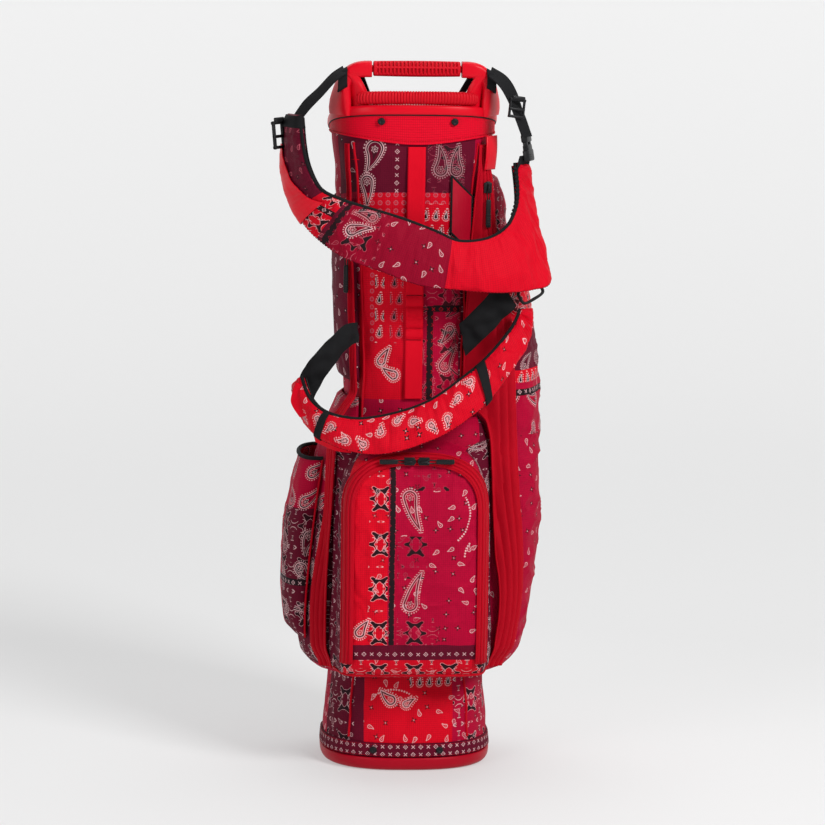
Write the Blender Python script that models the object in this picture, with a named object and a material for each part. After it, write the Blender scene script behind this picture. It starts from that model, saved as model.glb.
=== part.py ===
"""Golf stand bag: moulded base, collar and handle, a soft tube body with pockets,
a carrying harness, and a sprung pair of stand legs worked by a push shoe.

Metres, +Z up.  The origin is the centre of the underside of the base.  -Y is the harness
side with the ball pocket, +Y is the side that the stand legs fold against.
"""

import math

import bmesh
import bpy
from mathutils import Matrix, Vector

# ---------------------------------------------------------------- driving dimensions
BASE_HALF_X = 0.1075
BASE_HALF_Y = 0.1030
BASE_BAND_TOP = 0.0170
BASE_INSERT_TOP = 0.0450
SHELL_BOTTOM = 0.0178
SHELL_WALL = 0.0030
RIM_NEAR = 0.8355
RIM_FAR = 0.8000
COLLAR_HALF_Y = 0.0955
BAND_HEIGHT = 0.0125
COLLAR_WALL_IN = -0.0095
COLLAR_WALL_OUT = -0.0040
COLLAR_BOTTOM = 0.7640
GAP = 0.0012

# height, half width, half depth, squareness of the tube body's outline
BODY = (
    (0.000, 0.1070, 0.1020, 2.5),
    (0.030, 0.1040, 0.1000, 2.5),
    (0.120, 0.0960, 0.0940, 2.4),
    (0.300, 0.0880, 0.0880, 2.4),
    (0.480, 0.0810, 0.0860, 2.4),
    (0.600, 0.0855, 0.0880, 2.5),
    (0.720, 0.0930, 0.0920, 2.8),
    (0.790, 0.0995, 0.0955, 3.1),
    (0.860, 0.0995, 0.0955, 3.1),
)

# stand: pivots behind the collar, legs that splay back and outwards
LEG_X, LEG_Y, LEG_PIVOT_Z = 0.0500, 0.1270, 0.7750
SPLAY = math.radians(25.0)
LEG_RADIUS, LEG_BORE = 0.0063, 0.0052
LEG_BOTTOM, LEG_TOP = 0.0620, 0.7560
CLIP_BELOW_PIVOT = 0.2000
ROD_LENGTH = 0.5000
ROD_OFFSET = 0.0175
ROD_RADIUS = 0.0020

COLOURS = {
    "red_plastic": ((0.62, 0.008, 0.020), 0.42, 0.0),
    "red_rubber": ((0.55, 0.006, 0.016), 0.60, 0.0),
    "red_webbing": ((0.60, 0.008, 0.018), 0.70, 0.0),
    "red_print": ((0.42, 0.006, 0.024), 0.75, 0.0),
    "burgundy_print": ((0.12, 0.006, 0.022), 0.75, 0.0),
    "black_plastic": ((0.012, 0.012, 0.014), 0.40, 0.0),
    "black_webbing": ((0.010, 0.010, 0.012), 0.80, 0.0),
    "black_rubber": ((0.014, 0.014, 0.015), 0.85, 0.0),
    "aluminium_tube": ((0.20, 0.20, 0.21), 0.35, 1.0),
    "spring_steel": ((0.30, 0.30, 0.31), 0.30, 1.0),
    "glass_fibre": ((0.08, 0.08, 0.08), 0.55, 0.0),
}


# ---------------------------------------------------------------- general tools
def clear_scene():
    for thing in list(bpy.data.objects):
        bpy.data.objects.remove(thing)


def material(name):
    found = bpy.data.materials.get(name)
    if found:
        return found
    colour, roughness, metallic = COLOURS[name]
    made = bpy.data.materials.new(name)
    made.use_nodes = True
    surface = made.node_tree.nodes["Principled BSDF"]
    surface.inputs["Base Color"].default_value = (*colour, 1.0)
    surface.inputs["Roughness"].default_value = roughness
    surface.inputs["Metallic"].default_value = metallic
    return made


def finish(name, bm, finish_name, smooth_angle=40.0):
    """Turns a bmesh into a named object with its material, its faces pointing out."""
    bmesh.ops.recalc_face_normals(bm, faces=bm.faces)
    mesh = bpy.data.meshes.new(name)
    bm.to_mesh(mesh)
    bm.free()
    mesh.shade_smooth()
    mesh.set_sharp_from_angle(angle=math.radians(smooth_angle))
    made = bpy.data.objects.new(name, mesh)
    made.data.materials.append(material(finish_name))
    bpy.context.scene.collection.objects.link(made)
    return made


def add_loop(bm, points):
    """A closed loop of edges through the points."""
    corners = [bm.verts.new(p) for p in points]
    pairs = zip(corners, corners[1:] + corners[:1])
    return [bm.edges.new(pair) for pair in pairs]


def extruded_row(bm, row, points):
    """Extrudes a closed row of vertices to new places and gives the new row."""
    edges = [bm.edges.get(pair) for pair in zip(row, row[1:] + row[:1])]
    made = set(bmesh.ops.extrude_edge_only(bm, edges=edges)["geom"])
    after = [next(e.other_vert(v) for e in v.link_edges if e.other_vert(v) in made) for v in row]
    for twin, place in zip(after, points):
        twin.co = place
    return after


def loft(loops, capped=True):
    """A skin over a row of closed loops: capped at both ends, or joined end to start."""
    bm = bmesh.new()
    row = first = [bm.verts.new(p) for p in loops[0]]
    for pair in zip(first, first[1:] + first[:1]):
        bm.edges.new(pair)
    for points in loops[1:] if capped else loops[1:] + loops[:1]:
        row = extruded_row(bm, row, points)
    if capped:
        ends = [bm.edges.get(pair) for loop in (first, row) for pair in zip(loop, loop[1:] + loop[:1])]
        bmesh.ops.holes_fill(bm, edges=ends, sides=0)
    else:
        bmesh.ops.remove_doubles(bm, verts=first + row, dist=1e-6)
    return bm


def hermite(table, x, column):
    """A smooth curve through one column of a table whose first column is x."""
    last = len(table) - 1
    if x <= table[0][0]:
        return table[0][column]
    if x >= table[last][0]:
        return table[last][column]
    i = max(k for k in range(last) if table[k][0] <= x)

    def slope(k):
        low, high = max(k - 1, 0), min(k + 1, last)
        return (table[high][column] - table[low][column]) / (table[high][0] - table[low][0])

    span = table[i + 1][0] - table[i][0]
    t = (x - table[i][0]) / span
    start, end = table[i][column], table[i + 1][column]
    return (
        (1 + 2 * t) * (1 - t) ** 2 * start
        + t * (1 - t) ** 2 * span * slope(i)
        + t * t * (3 - 2 * t) * end
        + t * t * (t - 1) * span * slope(i + 1)
    )


def spline_points(points, count):
    """Points evenly spaced by parameter on a Catmull-Rom curve through the given ones."""
    points = [Vector(p) for p in points]
    last = len(points) - 1
    made = []
    for k in range(count):
        s = k / (count - 1) * last
        i = min(int(s), last - 1)
        t = s - i
        p0, p1 = points[max(i - 1, 0)], points[i]
        p2, p3 = points[i + 1], points[min(i + 2, last)]
        made.append(
            0.5
            * (
                2 * p1
                + (p2 - p0) * t
                + (2 * p0 - 5 * p1 + 4 * p2 - p3) * t * t
                + (3 * p1 - p0 - 3 * p2 + p3) * t ** 3
            )
        )
    return made


def tube(name, points, radius, finish_name, count=None, sides=3):
    """A round bar along a smooth curve through the points."""
    path = spline_points(points, count) if count else [Vector(p) for p in points]
    curve = bpy.data.curves.new(name, "CURVE")
    curve.dimensions = "3D"
    curve.bevel_depth = radius
    curve.bevel_resolution = sides
    curve.use_fill_caps = True
    spline = curve.splines.new("POLY")
    spline.points.add(len(path) - 1)
    for point, place in zip(spline.points, path):
        point.co = (*place, 1.0)
    made = bpy.data.objects.new(name, curve)
    made.data.materials.append(material(finish_name))
    bpy.context.scene.collection.objects.link(made)
    return made


def box(bm, low, high, turn=0.0, about=(0.0, 0.0)):
    """An upright box between two corners, turned about a vertical line."""
    low, high = Vector(low), Vector(high)
    size = Matrix.Diagonal((*(high - low), 1.0))
    place = Matrix.Translation((low + high) / 2) @ size
    pivot = Vector((*about, 0.0))
    spun = Matrix.Translation(pivot) @ Matrix.Rotation(turn, 4, "Z") @ Matrix.Translation(-pivot)
    return bmesh.ops.create_cube(bm, size=1.0, matrix=spun @ place)["verts"]


def bevelled(bm, width, segments=2):
    bmesh.ops.bevel(
        bm,
        geom=bm.edges[:],
        offset=width,
        offset_type="OFFSET",
        segments=segments,
        profile=0.5,
        affect="EDGES",
        material=-1,
    )


def cylinder(bm, start, end, radius, sides=20):
    start, end = Vector(start), Vector(end)
    along = end - start
    turn = Vector((0, 0, 1)).rotation_difference(along).to_matrix().to_4x4()
    place = Matrix.Translation((start + end) / 2) @ turn
    bmesh.ops.create_cone(
        bm,
        cap_ends=True,
        segments=sides,
        radius1=radius,
        radius2=radius,
        depth=along.length,
        matrix=place,
    )


def lathe(name, profile, place, finish_name, sides=20):
    """A turned piece: (radius, height) points of a closed profile spun about a vertical line."""
    bm = bmesh.new()
    edges = add_loop(bm, [(radius, 0.0, height) for radius, height in profile])
    bmesh.ops.spin(
        bm,
        geom=edges,
        cent=(0, 0, 0),
        axis=(0, 0, 1),
        angle=math.tau,
        steps=sides,
        use_merge=True,
        use_duplicate=False,
    )
    bmesh.ops.remove_doubles(bm, verts=bm.verts, dist=1e-6)
    made = finish(name, bm, finish_name)
    made.location = place
    return made


def helper(name, bm):
    """A shape that a Boolean uses and that isn't a piece of the bag."""
    made = finish(name, bm, "black_plastic")
    made.hide_render = True
    made.display_type = "WIRE"
    return made


def boolean(piece, other, operation):
    change = piece.modifiers.new(other.name, "BOOLEAN")
    change.operation = operation
    change.solver = "EXACT"
    change.object = other


# ---------------------------------------------------------------- the tube body's outline
def body_radius(angle, height, half_x=None, half_y=None, square=None):
    """Distance from the bag's axis to the outline, in the direction of the angle."""
    a = half_x or hermite(BODY, height, 1)
    b = half_y or hermite(BODY, height, 2)
    p = square or hermite(BODY, height, 3)
    return (abs(math.cos(angle) / a) ** p + abs(math.sin(angle) / b) ** p) ** (-1.0 / p)


def polar(angle, radius, height):
    return Vector((radius * math.cos(angle), radius * math.sin(angle), height))


def ring(offset, height_at, count=48):
    """A loop round the body, at an offset from its outline; its height may vary round it."""
    points = []
    for k in range(count):
        angle = math.tau * k / count
        level = height_at(angle) if callable(height_at) else height_at
        points.append(polar(angle, body_radius(angle, level) + offset, level))
    return points


def rim_plane(y):
    """The collar's rim lies in a plane that slopes down from the harness side to the leg side."""
    return (RIM_NEAR + RIM_FAR) / 2 - (RIM_NEAR - RIM_FAR) / 2 * y / COLLAR_HALF_Y


def rim_ring(offset, drop=0.0, count=48):
    """A loop round the body in the rim's plane, or a drop below it."""
    points = []
    for k in range(count):
        angle = math.tau * k / count
        place = polar(angle, body_radius(angle, RIM_NEAR) + offset, 0.0)
        points.append(Vector((place.x, place.y, rim_plane(place.y) - drop)))
    return points


def cuff_low(angle):
    """Lower edge of the cuff's cover: low at the harness side, higher at the flanks."""
    near, side, far = 0.7865, 0.7960, 0.7620
    s = math.sin(angle)
    return side + (near - side) * s * s if s < 0 else side + (far - side) * s * s


# ---------------------------------------------------------------- pockets, as thickness outside the body
# height, how far the right pocket stands out
RIGHT_BULGE = (
    (0.118, 0.012), (0.130, 0.030), (0.148, 0.044), (0.180, 0.054), (0.226, 0.063), (0.303, 0.073),
    (0.360, 0.076), (0.420, 0.077), (0.480, 0.075), (0.540, 0.067), (0.584, 0.058), (0.626, 0.044),
    (0.666, 0.029), (0.715, 0.018), (0.745, 0.008),
)
LEFT_BULGE = (
    (0.118, 0.010), (0.130, 0.026), (0.148, 0.038), (0.187, 0.043), (0.240, 0.042), (0.303, 0.037),
    (0.345, 0.033), (0.370, 0.030), (0.400, 0.026), (0.430, 0.018), (0.455, 0.008), (0.468, 0.003),
)
VALUABLES_BULGE = (
    (0.488, 0.002), (0.500, 0.006), (0.560, 0.008), (0.640, 0.007), (0.700, 0.006), (0.715, 0.002),
)
# height, front of the ball pocket, its half width, front of the panel behind it, that panel's half width
BALL = (
    (0.122, 0.108, 0.080, 0.108, 0.090),
    (0.132, 0.146, 0.091, 0.122, 0.102),
    (0.150, 0.162, 0.094, 0.127, 0.105),
    (0.200, 0.170, 0.094, 0.128, 0.105),
    (0.300, 0.171, 0.093, 0.127, 0.104),
    (0.360, 0.168, 0.091, 0.126, 0.103),
    (0.387, 0.164, 0.084, 0.125, 0.102),
    (0.403, 0.158, 0.073, 0.124, 0.101),
    (0.414, 0.146, 0.058, 0.122, 0.100),
    (0.423, 0.122, 0.040, 0.119, 0.098),
    (0.438, 0.108, 0.030, 0.111, 0.094),
    (0.448, 0.098, 0.030, 0.100, 0.089),
)
BALL_TOP = 0.448
BALL_HALF_ANGLE = math.radians(45.5)
SIDE_FRONT = math.radians(-43.0)
SIDE_BACK = math.radians(56.0)


def swell(t):
    """0 at both edges of a pocket and 1 over most of it: a steep gusset, then a full face."""
    return math.sqrt(max(0.0, 1.0 - abs(2.0 * t - 1.0) ** 6))


def side_radius(angle, height, bulge):
    """Outer surface of the pocket on the right flank; the left one is its mirror image."""
    t = (angle - SIDE_FRONT) / (SIDE_BACK - SIDE_FRONT)
    skin = 0.003
    return body_radius(angle, height) + GAP + skin + hermite(bulge, height, 1) * swell(t)


def ball_radius(angle, height):
    """Outer surface of the ball pocket and the panel behind it."""
    block = body_radius(angle, height, hermite(BALL, height, 2), hermite(BALL, height, 1), 10.0)
    panel = body_radius(angle, height, hermite(BALL, height, 4), hermite(BALL, height, 3), 5.0)
    least = body_radius(angle, height) + GAP + 0.003
    return max(block, panel, least)


def pocket(name, heights, angles, outer, finish_name, mirrored=False):
    """A closed soft solid between the body's outline and an outer surface."""
    sign = -1.0 if mirrored else 1.0
    rows = []
    for z in heights:
        out = [polar(a, outer(a, z), z) for a in angles]
        back = [polar(a, body_radius(a, z) + GAP, z) for a in reversed(angles)]
        rows.append([(sign * p.x, p.y, p.z) for p in out + back])
    return finish(name, loft(rows), finish_name, 60.0)


def even(start, end, count):
    return [start + (end - start) * k / (count - 1) for k in range(count)]


def eased(start, end, count):
    """Closer together near both ends."""
    return [start + (end - start) * (1 - math.cos(math.pi * k / (count - 1))) / 2 for k in range(count)]


# ---------------------------------------------------------------- ribbons: webbing, tapes and pads
def ribbon(name, edge_a, edge_b, thickness, count, finish_name):
    """A flat strap between two smooth edge curves, of one thickness."""
    side_a, side_b = spline_points(edge_a, count), spline_points(edge_b, count)
    rows = []
    for k in range(count):
        before, after = max(k - 1, 0), min(k + 1, count - 1)
        along = (side_a[after] + side_b[after]) - (side_a[before] + side_b[before])
        normal = along.cross(side_b[k] - side_a[k]).normalized() * (thickness / 2)
        rows.append([side_a[k] + normal, side_b[k] + normal, side_b[k] - normal, side_a[k] - normal])
    return finish(name, loft(rows), finish_name, 50.0)


# ================================================================ the pieces
def make_base():
    count = 48
    wall = 0.0055

    def base_loop(offset, z):
        half_x, half_y = BASE_HALF_X + offset, BASE_HALF_Y + offset
        angles = [math.tau * k / count for k in range(count)]
        return [polar(angle, body_radius(angle, z, half_x, half_y, 2.5), z) for angle in angles]

    lip = -0.0045
    loops = [
        base_loop(-0.0100, 0.0),
        base_loop(-0.0040, 0.0022),
        base_loop(-0.0008, 0.0065),
        base_loop(0.0, BASE_BAND_TOP - 0.0015),
        base_loop(-0.0012, BASE_BAND_TOP),
        base_loop(lip - 0.0032, BASE_BAND_TOP),
        ring(-SHELL_WALL - 0.0008, BASE_INSERT_TOP, count),
        ring(-SHELL_WALL - 0.0008 - wall, BASE_INSERT_TOP, count),
        base_loop(lip - 0.0032 - wall, BASE_BAND_TOP),
        base_loop(lip - 0.0040 - wall, 0.0050),
    ]
    finish("base_cup", loft(loops), "red_plastic")
    low, high = 0.0182, 0.0360
    binding = [ring(0.0006, low), ring(0.0026, low), ring(0.0030, (low + high) / 2), ring(0.0026, high)]
    binding.append(ring(0.0006, high))
    finish("base_binding", loft(binding, capped=False), "burgundy_print")


def make_shell():
    heights = [SHELL_BOTTOM, 0.050, 0.120, 0.210, 0.300, 0.390, 0.480, 0.540, 0.600, 0.660, 0.720, 0.760]

    under_band = BAND_HEIGHT + 0.0016
    outer = [ring(0.0, z) for z in heights] + [rim_ring(0.0, under_band)]
    inner = [rim_ring(-SHELL_WALL, under_band)] + [ring(-SHELL_WALL, z) for z in reversed(heights)]
    finish("body_shell", loft(outer + inner, capped=False), "red_print")


def make_collar():
    loops = [
        ring(COLLAR_WALL_OUT, COLLAR_BOTTOM),
        rim_ring(COLLAR_WALL_OUT, BAND_HEIGHT),
        rim_ring(0.0042, BAND_HEIGHT),
        rim_ring(0.0046, 0.0020),
        rim_ring(0.0030),
        rim_ring(COLLAR_WALL_IN + 0.0015),
        rim_ring(COLLAR_WALL_IN, 0.0020),
        ring(COLLAR_WALL_IN, COLLAR_BOTTOM),
    ]
    finish("collar", loft(loops, capped=False), "red_plastic")
    under_band = BAND_HEIGHT + 0.0016
    cover = [ring(0.0006, cuff_low), ring(0.0034, cuff_low), rim_ring(0.0034, under_band)]
    cover.append(rim_ring(0.0006, under_band))
    finish("cuff_cover", loft(cover, capped=False), "red_webbing")


def make_rim_grip():
    """A soft ribbed grip that clips over the collar's rim on the harness side."""
    height, half_depth, reach = 0.0172, 0.0090, math.radians(42.0)
    rows = []
    for share in even(-1.0, 1.0, 15):
        angle = -math.pi / 2 + reach * share
        middle = body_radius(angle, RIM_NEAR) - 0.0035
        tall = height * (1.0 - 0.55 * abs(share) ** 8)
        top = ((1.0, 0.5 * tall), (0.72, 0.86 * tall), (0.25, tall))
        section = [(-1.0, 0.0), (1.0, 0.0), *top, *((-out, up) for out, up in reversed(top))]
        row = []
        for out, up in section:
            place = polar(angle, middle + out * half_depth, 0.0)
            row.append(Vector((place.x, place.y, rim_plane(place.y) + 0.0005 + up)))
        rows.append(row)
    finish("rim_grip", loft(rows), "red_rubber")


def oblong(centre, across, up, half_across, half_up, square=4.0, count=16):
    """A rounded rectangle of points about a centre, in the plane of two directions."""
    points = []
    for k in range(count):
        angle = math.tau * (k + 0.5) / count
        radius = (abs(math.cos(angle)) ** square + abs(math.sin(angle)) ** square) ** (-1.0 / square)
        reach, rise = half_across * radius * math.cos(angle), half_up * radius * math.sin(angle)
        points.append(centre + across * reach + up * rise)
    return points


BAR_Y, BAR_Z = -0.0750, 0.8785
GRIP_HALF = 0.0535


def make_handle():
    """Moulded top handle: posts up from the collar's corners, end blocks, and the bar between them."""
    deep = Vector((0, 1, 0))
    # place, direction that the section faces, direction of its depth, half depth, half height
    half = (
        ((0.0000, BAR_Y, BAR_Z), (1, 0, 0.00), deep, 0.0045, 0.0045),
        ((0.0545, BAR_Y, BAR_Z - 0.0004), (1, 0, -0.02), deep, 0.0045, 0.0045),
        ((0.0555, BAR_Y, BAR_Z - 0.0008), (1, 0, -0.02), deep, 0.0110, 0.0100),
        ((0.0720, BAR_Y, BAR_Z - 0.0016), (1, 0, -0.15), deep, 0.0115, 0.0098),
        ((0.0830, BAR_Y + 0.001, BAR_Z - 0.0060), (1, 0, -0.7), (0.05, 1, 0), 0.0120, 0.0092),
        ((0.0895, BAR_Y + 0.004, BAR_Z - 0.0160), (1, 0, -2.4), (0.20, 1, 0), 0.0150, 0.0086),
        ((0.0935, BAR_Y + 0.009, BAR_Z - 0.0270), (1, 0, -4.0), (0.32, 1, 0), 0.0195, 0.0078),
        ((0.0955, BAR_Y + 0.014, BAR_Z - 0.0400), (1, 0, -8.0), (0.40, 1, 0), 0.0230, 0.0068),
        ((0.0962, BAR_Y + 0.016, BAR_Z - 0.0600), (1, 0, -20.0), (0.42, 1, 0), 0.0240, 0.0066),
    )
    right = []
    for place, facing, depth, half_deep, half_high in half:
        depth = Vector(depth).normalized()
        up = depth.cross(Vector(facing)).normalized()
        right.append(oblong(Vector(place), depth, up, half_deep, half_high))
    left = [[Vector((-p.x, p.y, p.z)) for p in points] for points in reversed(right[1:])]
    piece = finish("top_handle", loft(left + right), "red_plastic")

    seat = loft([ring(0.0300, 0.7500), rim_ring(0.0300, -0.0004)])
    boolean(piece, helper("collar_seat", seat), "DIFFERENCE")

    up = Vector((0, 0, 1))
    middle = Vector((0, BAR_Y, BAR_Z))
    sleeve = (
        (-1.0, 0.0082), (-0.96, 0.0092), (0.96, 0.0092), (1.0, 0.0082), (1.0, 0.0062), (-1.0, 0.0062),
    )
    rows = []
    for x, radius in sleeve:
        rows.append(oblong(middle + Vector((x * GRIP_HALF, 0, 0)), deep, up, radius, radius, 2.6))
    finish("handle_grip", loft(rows, capped=False), "red_rubber")


def make_divider():
    """The padded cross that parts the clubs at the mouth."""
    low, high, half = 0.7700, 0.7860, 0.0060
    z = (low + high) / 2
    reach_x = body_radius(0.0, z) + COLLAR_WALL_IN - 0.0018
    reach_y = body_radius(math.pi / 2, z) + COLLAR_WALL_IN - 0.0018
    bm = bmesh.new()
    box(bm, (-reach_x, -half, low), (reach_x, half, high))
    piece = finish("top_divider", bm, "black_webbing")
    bm = bmesh.new()
    box(bm, (-half, -reach_y, low + 0.0001), (half, reach_y, high + 0.0001))
    boolean(piece, helper("divider_other_bar", bm), "UNION")


def make_stays():
    """Sprung rods inside the shell that hold the collar above the base."""
    bottom, top = BASE_INSERT_TOP + 0.0012, COLLAR_BOTTOM - 0.0012
    inset = SHELL_WALL + 0.0030 + 0.0010
    for name, angle in (("spine_stay", -90.0), ("stay_left", 150.0), ("stay_right", 30.0)):
        turn = math.radians(angle)
        places = [polar(turn, body_radius(turn, z) - inset, z) for z in even(bottom, top, 12)]
        tube(name, places, 0.0030, "glass_fibre", sides=2)


def make_pockets():
    ball_heights = [row[0] for row in BALL]
    ball_angles = even(-math.pi / 2 - BALL_HALF_ANGLE, -math.pi / 2 + BALL_HALF_ANGLE, 27)
    pocket("ball_pocket", ball_heights, ball_angles, ball_radius, "red_print")
    side_angles = eased(SIDE_FRONT, SIDE_BACK, 15)
    right_heights = [row[0] for row in RIGHT_BULGE]
    pocket(
        "side_pocket_right",
        right_heights,
        side_angles,
        lambda a, z: side_radius(a, z, RIGHT_BULGE),
        "red_print",
    )
    left_heights = [row[0] for row in LEFT_BULGE]
    pocket(
        "side_pocket_left",
        left_heights,
        side_angles,
        lambda a, z: side_radius(a, z, LEFT_BULGE),
        "red_print",
        True,
    )
    small_heights = [row[0] for row in VALUABLES_BULGE]
    pocket(
        "valuables_pocket",
        small_heights,
        side_angles,
        lambda a, z: side_radius(a, z, VALUABLES_BULGE),
        "burgundy_print",
        True,
    )


# height, how far the slip pouch's outside stands out
POUCH_OUTSIDE = (
    (0.164, 0.046), (0.176, 0.056), (0.200, 0.0615), (0.240, 0.0645), (0.303, 0.0650), (0.345, 0.0590),
    (0.367, 0.0555), (0.390, 0.0500),
)
POUCH_FLOOR = 0.0120
POUCH_WALL = 0.0025
POUCH_START, POUCH_END = math.radians(-26.0), math.radians(34.0)


def make_bottle_pouch():
    """Open-topped slip pouch on the outside of the left pocket."""
    angles = eased(POUCH_START, POUCH_END, 13)
    low, high = POUCH_OUTSIDE[0][0], POUCH_OUTSIDE[-1][0]
    heights = [low, low + POUCH_FLOOR, low + POUCH_FLOOR + 0.0005, 0.220, 0.270, 0.310, 0.350, 0.370, high]

    def back(angle, z):
        return side_radius(angle, z, LEFT_BULGE) + 0.0010

    def front(angle, z):
        t = (angle - POUCH_START) / (POUCH_END - POUCH_START)
        edge = back(angle, z) + POUCH_WALL
        full = side_radius(angle, z, POUCH_OUTSIDE)
        return edge + max(0.0, full - edge) * swell(t)

    rows = []
    for z in heights:
        hollow = z > low + POUCH_FLOOR + 0.0001
        outer = [polar(a, front(a, z), z) for a in angles]
        inner = []
        for k, a in enumerate(angles):
            open_here = hollow and 1 < k < len(angles) - 2
            inner.append(polar(a, max(back(a, z), front(a, z) - POUCH_WALL) if open_here else back(a, z), z))
        rows.append([(-p.x, p.y, p.z) for p in outer + inner[::-1]])
    finish("bottle_pouch", loft(rows), "red_print", 60.0)


def skin(name, columns, rows, place, thickness, finish_name, mirrored=False):
    """A thin closed sheet: place(across, along, lift) gives its points, both from 0 to 1."""
    sign = -1.0 if mirrored else 1.0
    loops = []
    for along in even(0.0, 1.0, rows):
        outer = [place(across, along, thickness) for across in even(0.0, 1.0, columns)]
        inner = [place(across, along, 0.0) for across in even(1.0, 0.0, columns)]
        loops.append([(sign * p[0], p[1], p[2]) for p in outer + inner])
    return finish(name, loft(loops), finish_name, 60.0)


ZIP_TOP, ZIP_BOTTOM = 0.7550, 0.1300
ZIP_INNER, ZIP_OUTER = SIDE_FRONT - math.radians(4.0), SIDE_FRONT + math.radians(6.5)
ZIP_LIFT = 0.0012


def flank(angle, z, lower_bulge, upper_bulge):
    """Outermost surface round the front of a flank, where a long zip lies."""
    radius = body_radius(angle, z) + 0.0010
    if z <= BALL_TOP:
        radius = max(radius, ball_radius(angle, z))
    for bulge in (lower_bulge, upper_bulge):
        if angle >= SIDE_FRONT and bulge[0][0] <= z <= bulge[-1][0]:
            radius = max(radius, side_radius(angle, z, bulge))
    return radius


def zip_point(across, along, lift, bulges):
    """A point of a long zip, held just clear of every surface that it runs over."""
    angle = ZIP_INNER + (ZIP_OUTER - ZIP_INNER) * across
    z = ZIP_BOTTOM + (ZIP_TOP - ZIP_BOTTOM) * along
    near = [
        flank(angle + math.radians(turn), min(max(z + rise, ZIP_BOTTOM), ZIP_TOP), *bulges)
        for turn in (-2.8, -1.4, 0.0, 1.4, 2.8)
        for rise in (-0.014, -0.007, 0.0, 0.007, 0.014)
    ]
    return polar(angle, max(near) + ZIP_LIFT + lift, z)


ZIP_BULGES = {"right": (RIGHT_BULGE, RIGHT_BULGE), "left": (LEFT_BULGE, VALUABLES_BULGE)}


def make_side_zips():
    for label, bulges in ZIP_BULGES.items():
        skin(
            "side_zip_" + label,
            5,
            42,
            lambda across, along, lift: zip_point(across, along, lift, bulges),
            0.0016,
            "red_webbing",
            label == "left",
        )


BALL_ZIP_WIDTH = 0.0140


def arch_point(s, out):
    """A point of the ball pocket's zip: s runs from -1, low at the left, to 1, low at the right."""
    half, low, spring, top = 0.0820, 0.1500, 0.3350, 0.4040
    straight = (spring - low) / ((spring - low) + 0.25 * math.pi * (half + top - spring))
    t = 1.0 - abs(s)
    if t < straight:
        x, z = half + out, low + (spring - low) * t / straight
    else:
        turn = (t - straight) / (1.0 - straight) * math.pi / 2
        x = (half + out) * math.cos(turn) ** 0.72
        z = spring + (top - spring + out) * math.sin(turn) ** 0.72
    return math.copysign(x, s), z


def front_of_ball(x, z):
    """How far in front of the axis the ball pocket's face is, at a place across and a height."""
    near, far = 0.0, 0.2
    for _ in range(24):
        middle = (near + far) / 2
        if math.hypot(x, middle) < ball_radius(math.atan2(-middle, x), z):
            near = middle
        else:
            far = middle
    return near


def make_ball_zip():
    """The arched zip round the ball pocket's front, lying just off the pocket's face."""

    def place(across, along, lift):
        x, z = arch_point(2.0 * along - 1.0, BALL_ZIP_WIDTH * (across - 0.5))
        return (x, -front_of_ball(x, z) - 0.0026 - lift, z)

    skin("ball_pocket_zip", 5, 45, place, 0.0016, "red_webbing")


def slider(name, centre, normal, along):
    """A zip slider: a flat body that rides over the tape, with a bridge for its pull."""
    normal, along = Vector(normal).normalized(), Vector(along).normalized()
    across = normal.cross(along)
    turn = Matrix((across, along, normal)).transposed().to_4x4()
    bm = bmesh.new()
    box(bm, (-0.0050, -0.0070, 0.0), (0.0050, 0.0070, 0.0030))
    bevelled(bm, 0.0008, 1)
    bmesh.ops.transform(bm, matrix=Matrix.Translation(Vector(centre)) @ turn, verts=bm.verts)
    return finish(name, bm, "black_plastic")


def pull(name, centre, normal, along, length):
    """A moulded zip pull that hangs from the slider."""
    normal, along = Vector(normal).normalized(), Vector(along).normalized()
    across = normal.cross(along)
    turn = Matrix((across, along, normal)).transposed().to_4x4()
    bm = bmesh.new()
    box(bm, (-0.0028, -length, 0.0), (0.0028, 0.0, 0.0030))
    bevelled(bm, 0.0007, 1)
    bmesh.ops.transform(bm, matrix=Matrix.Translation(Vector(centre)) @ turn, verts=bm.verts)
    return finish(name, bm, "black_plastic")


def make_sliders():
    """Sliders and pulls of the two long zips and of the ball pocket's two-way zip."""
    for label, z in (("right", 0.7330), ("left", 0.6500)):
        bulges = ZIP_BULGES[label]
        along = (z - ZIP_BOTTOM) / (ZIP_TOP - ZIP_BOTTOM)
        sign = -1.0 if label == "left" else 1.0
        start, middle, end = (zip_point(t, along, 0.0016, bulges) for t in (0.0, 0.5, 1.0))
        across = Vector((sign * (end - start).x, (end - start).y, 0.0)).normalized()
        normal = Vector((across.y, -across.x, 0.0)) * sign
        seat = Vector((sign * middle.x, middle.y, z)) + normal * 0.0012
        slider("side_zip_slider_" + label, seat, normal, (0, 0, 1))
        hang = seat + normal * 0.0034 + Vector((0, 0, -0.0030))
        pull("side_zip_pull_" + label, hang, normal, (0, 0, 1), 0.0460)
    for label, x in (("left", -0.0090), ("right", 0.0090)):
        z = arch_point(0.0, 0.0)[1]
        along = Vector((-math.copysign(1.0, x), 0, 0))
        seat = Vector((x, -front_of_ball(x, z - 0.004) - 0.0060, z))
        slider("ball_zip_slider_" + label, seat, (0, -1, 0), along)
        hang = seat + Vector((0, -0.0034, 0)) - along * 0.0030
        pull("ball_zip_pull_" + label, hang, (0, -1, 0), along, 0.0340)


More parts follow.
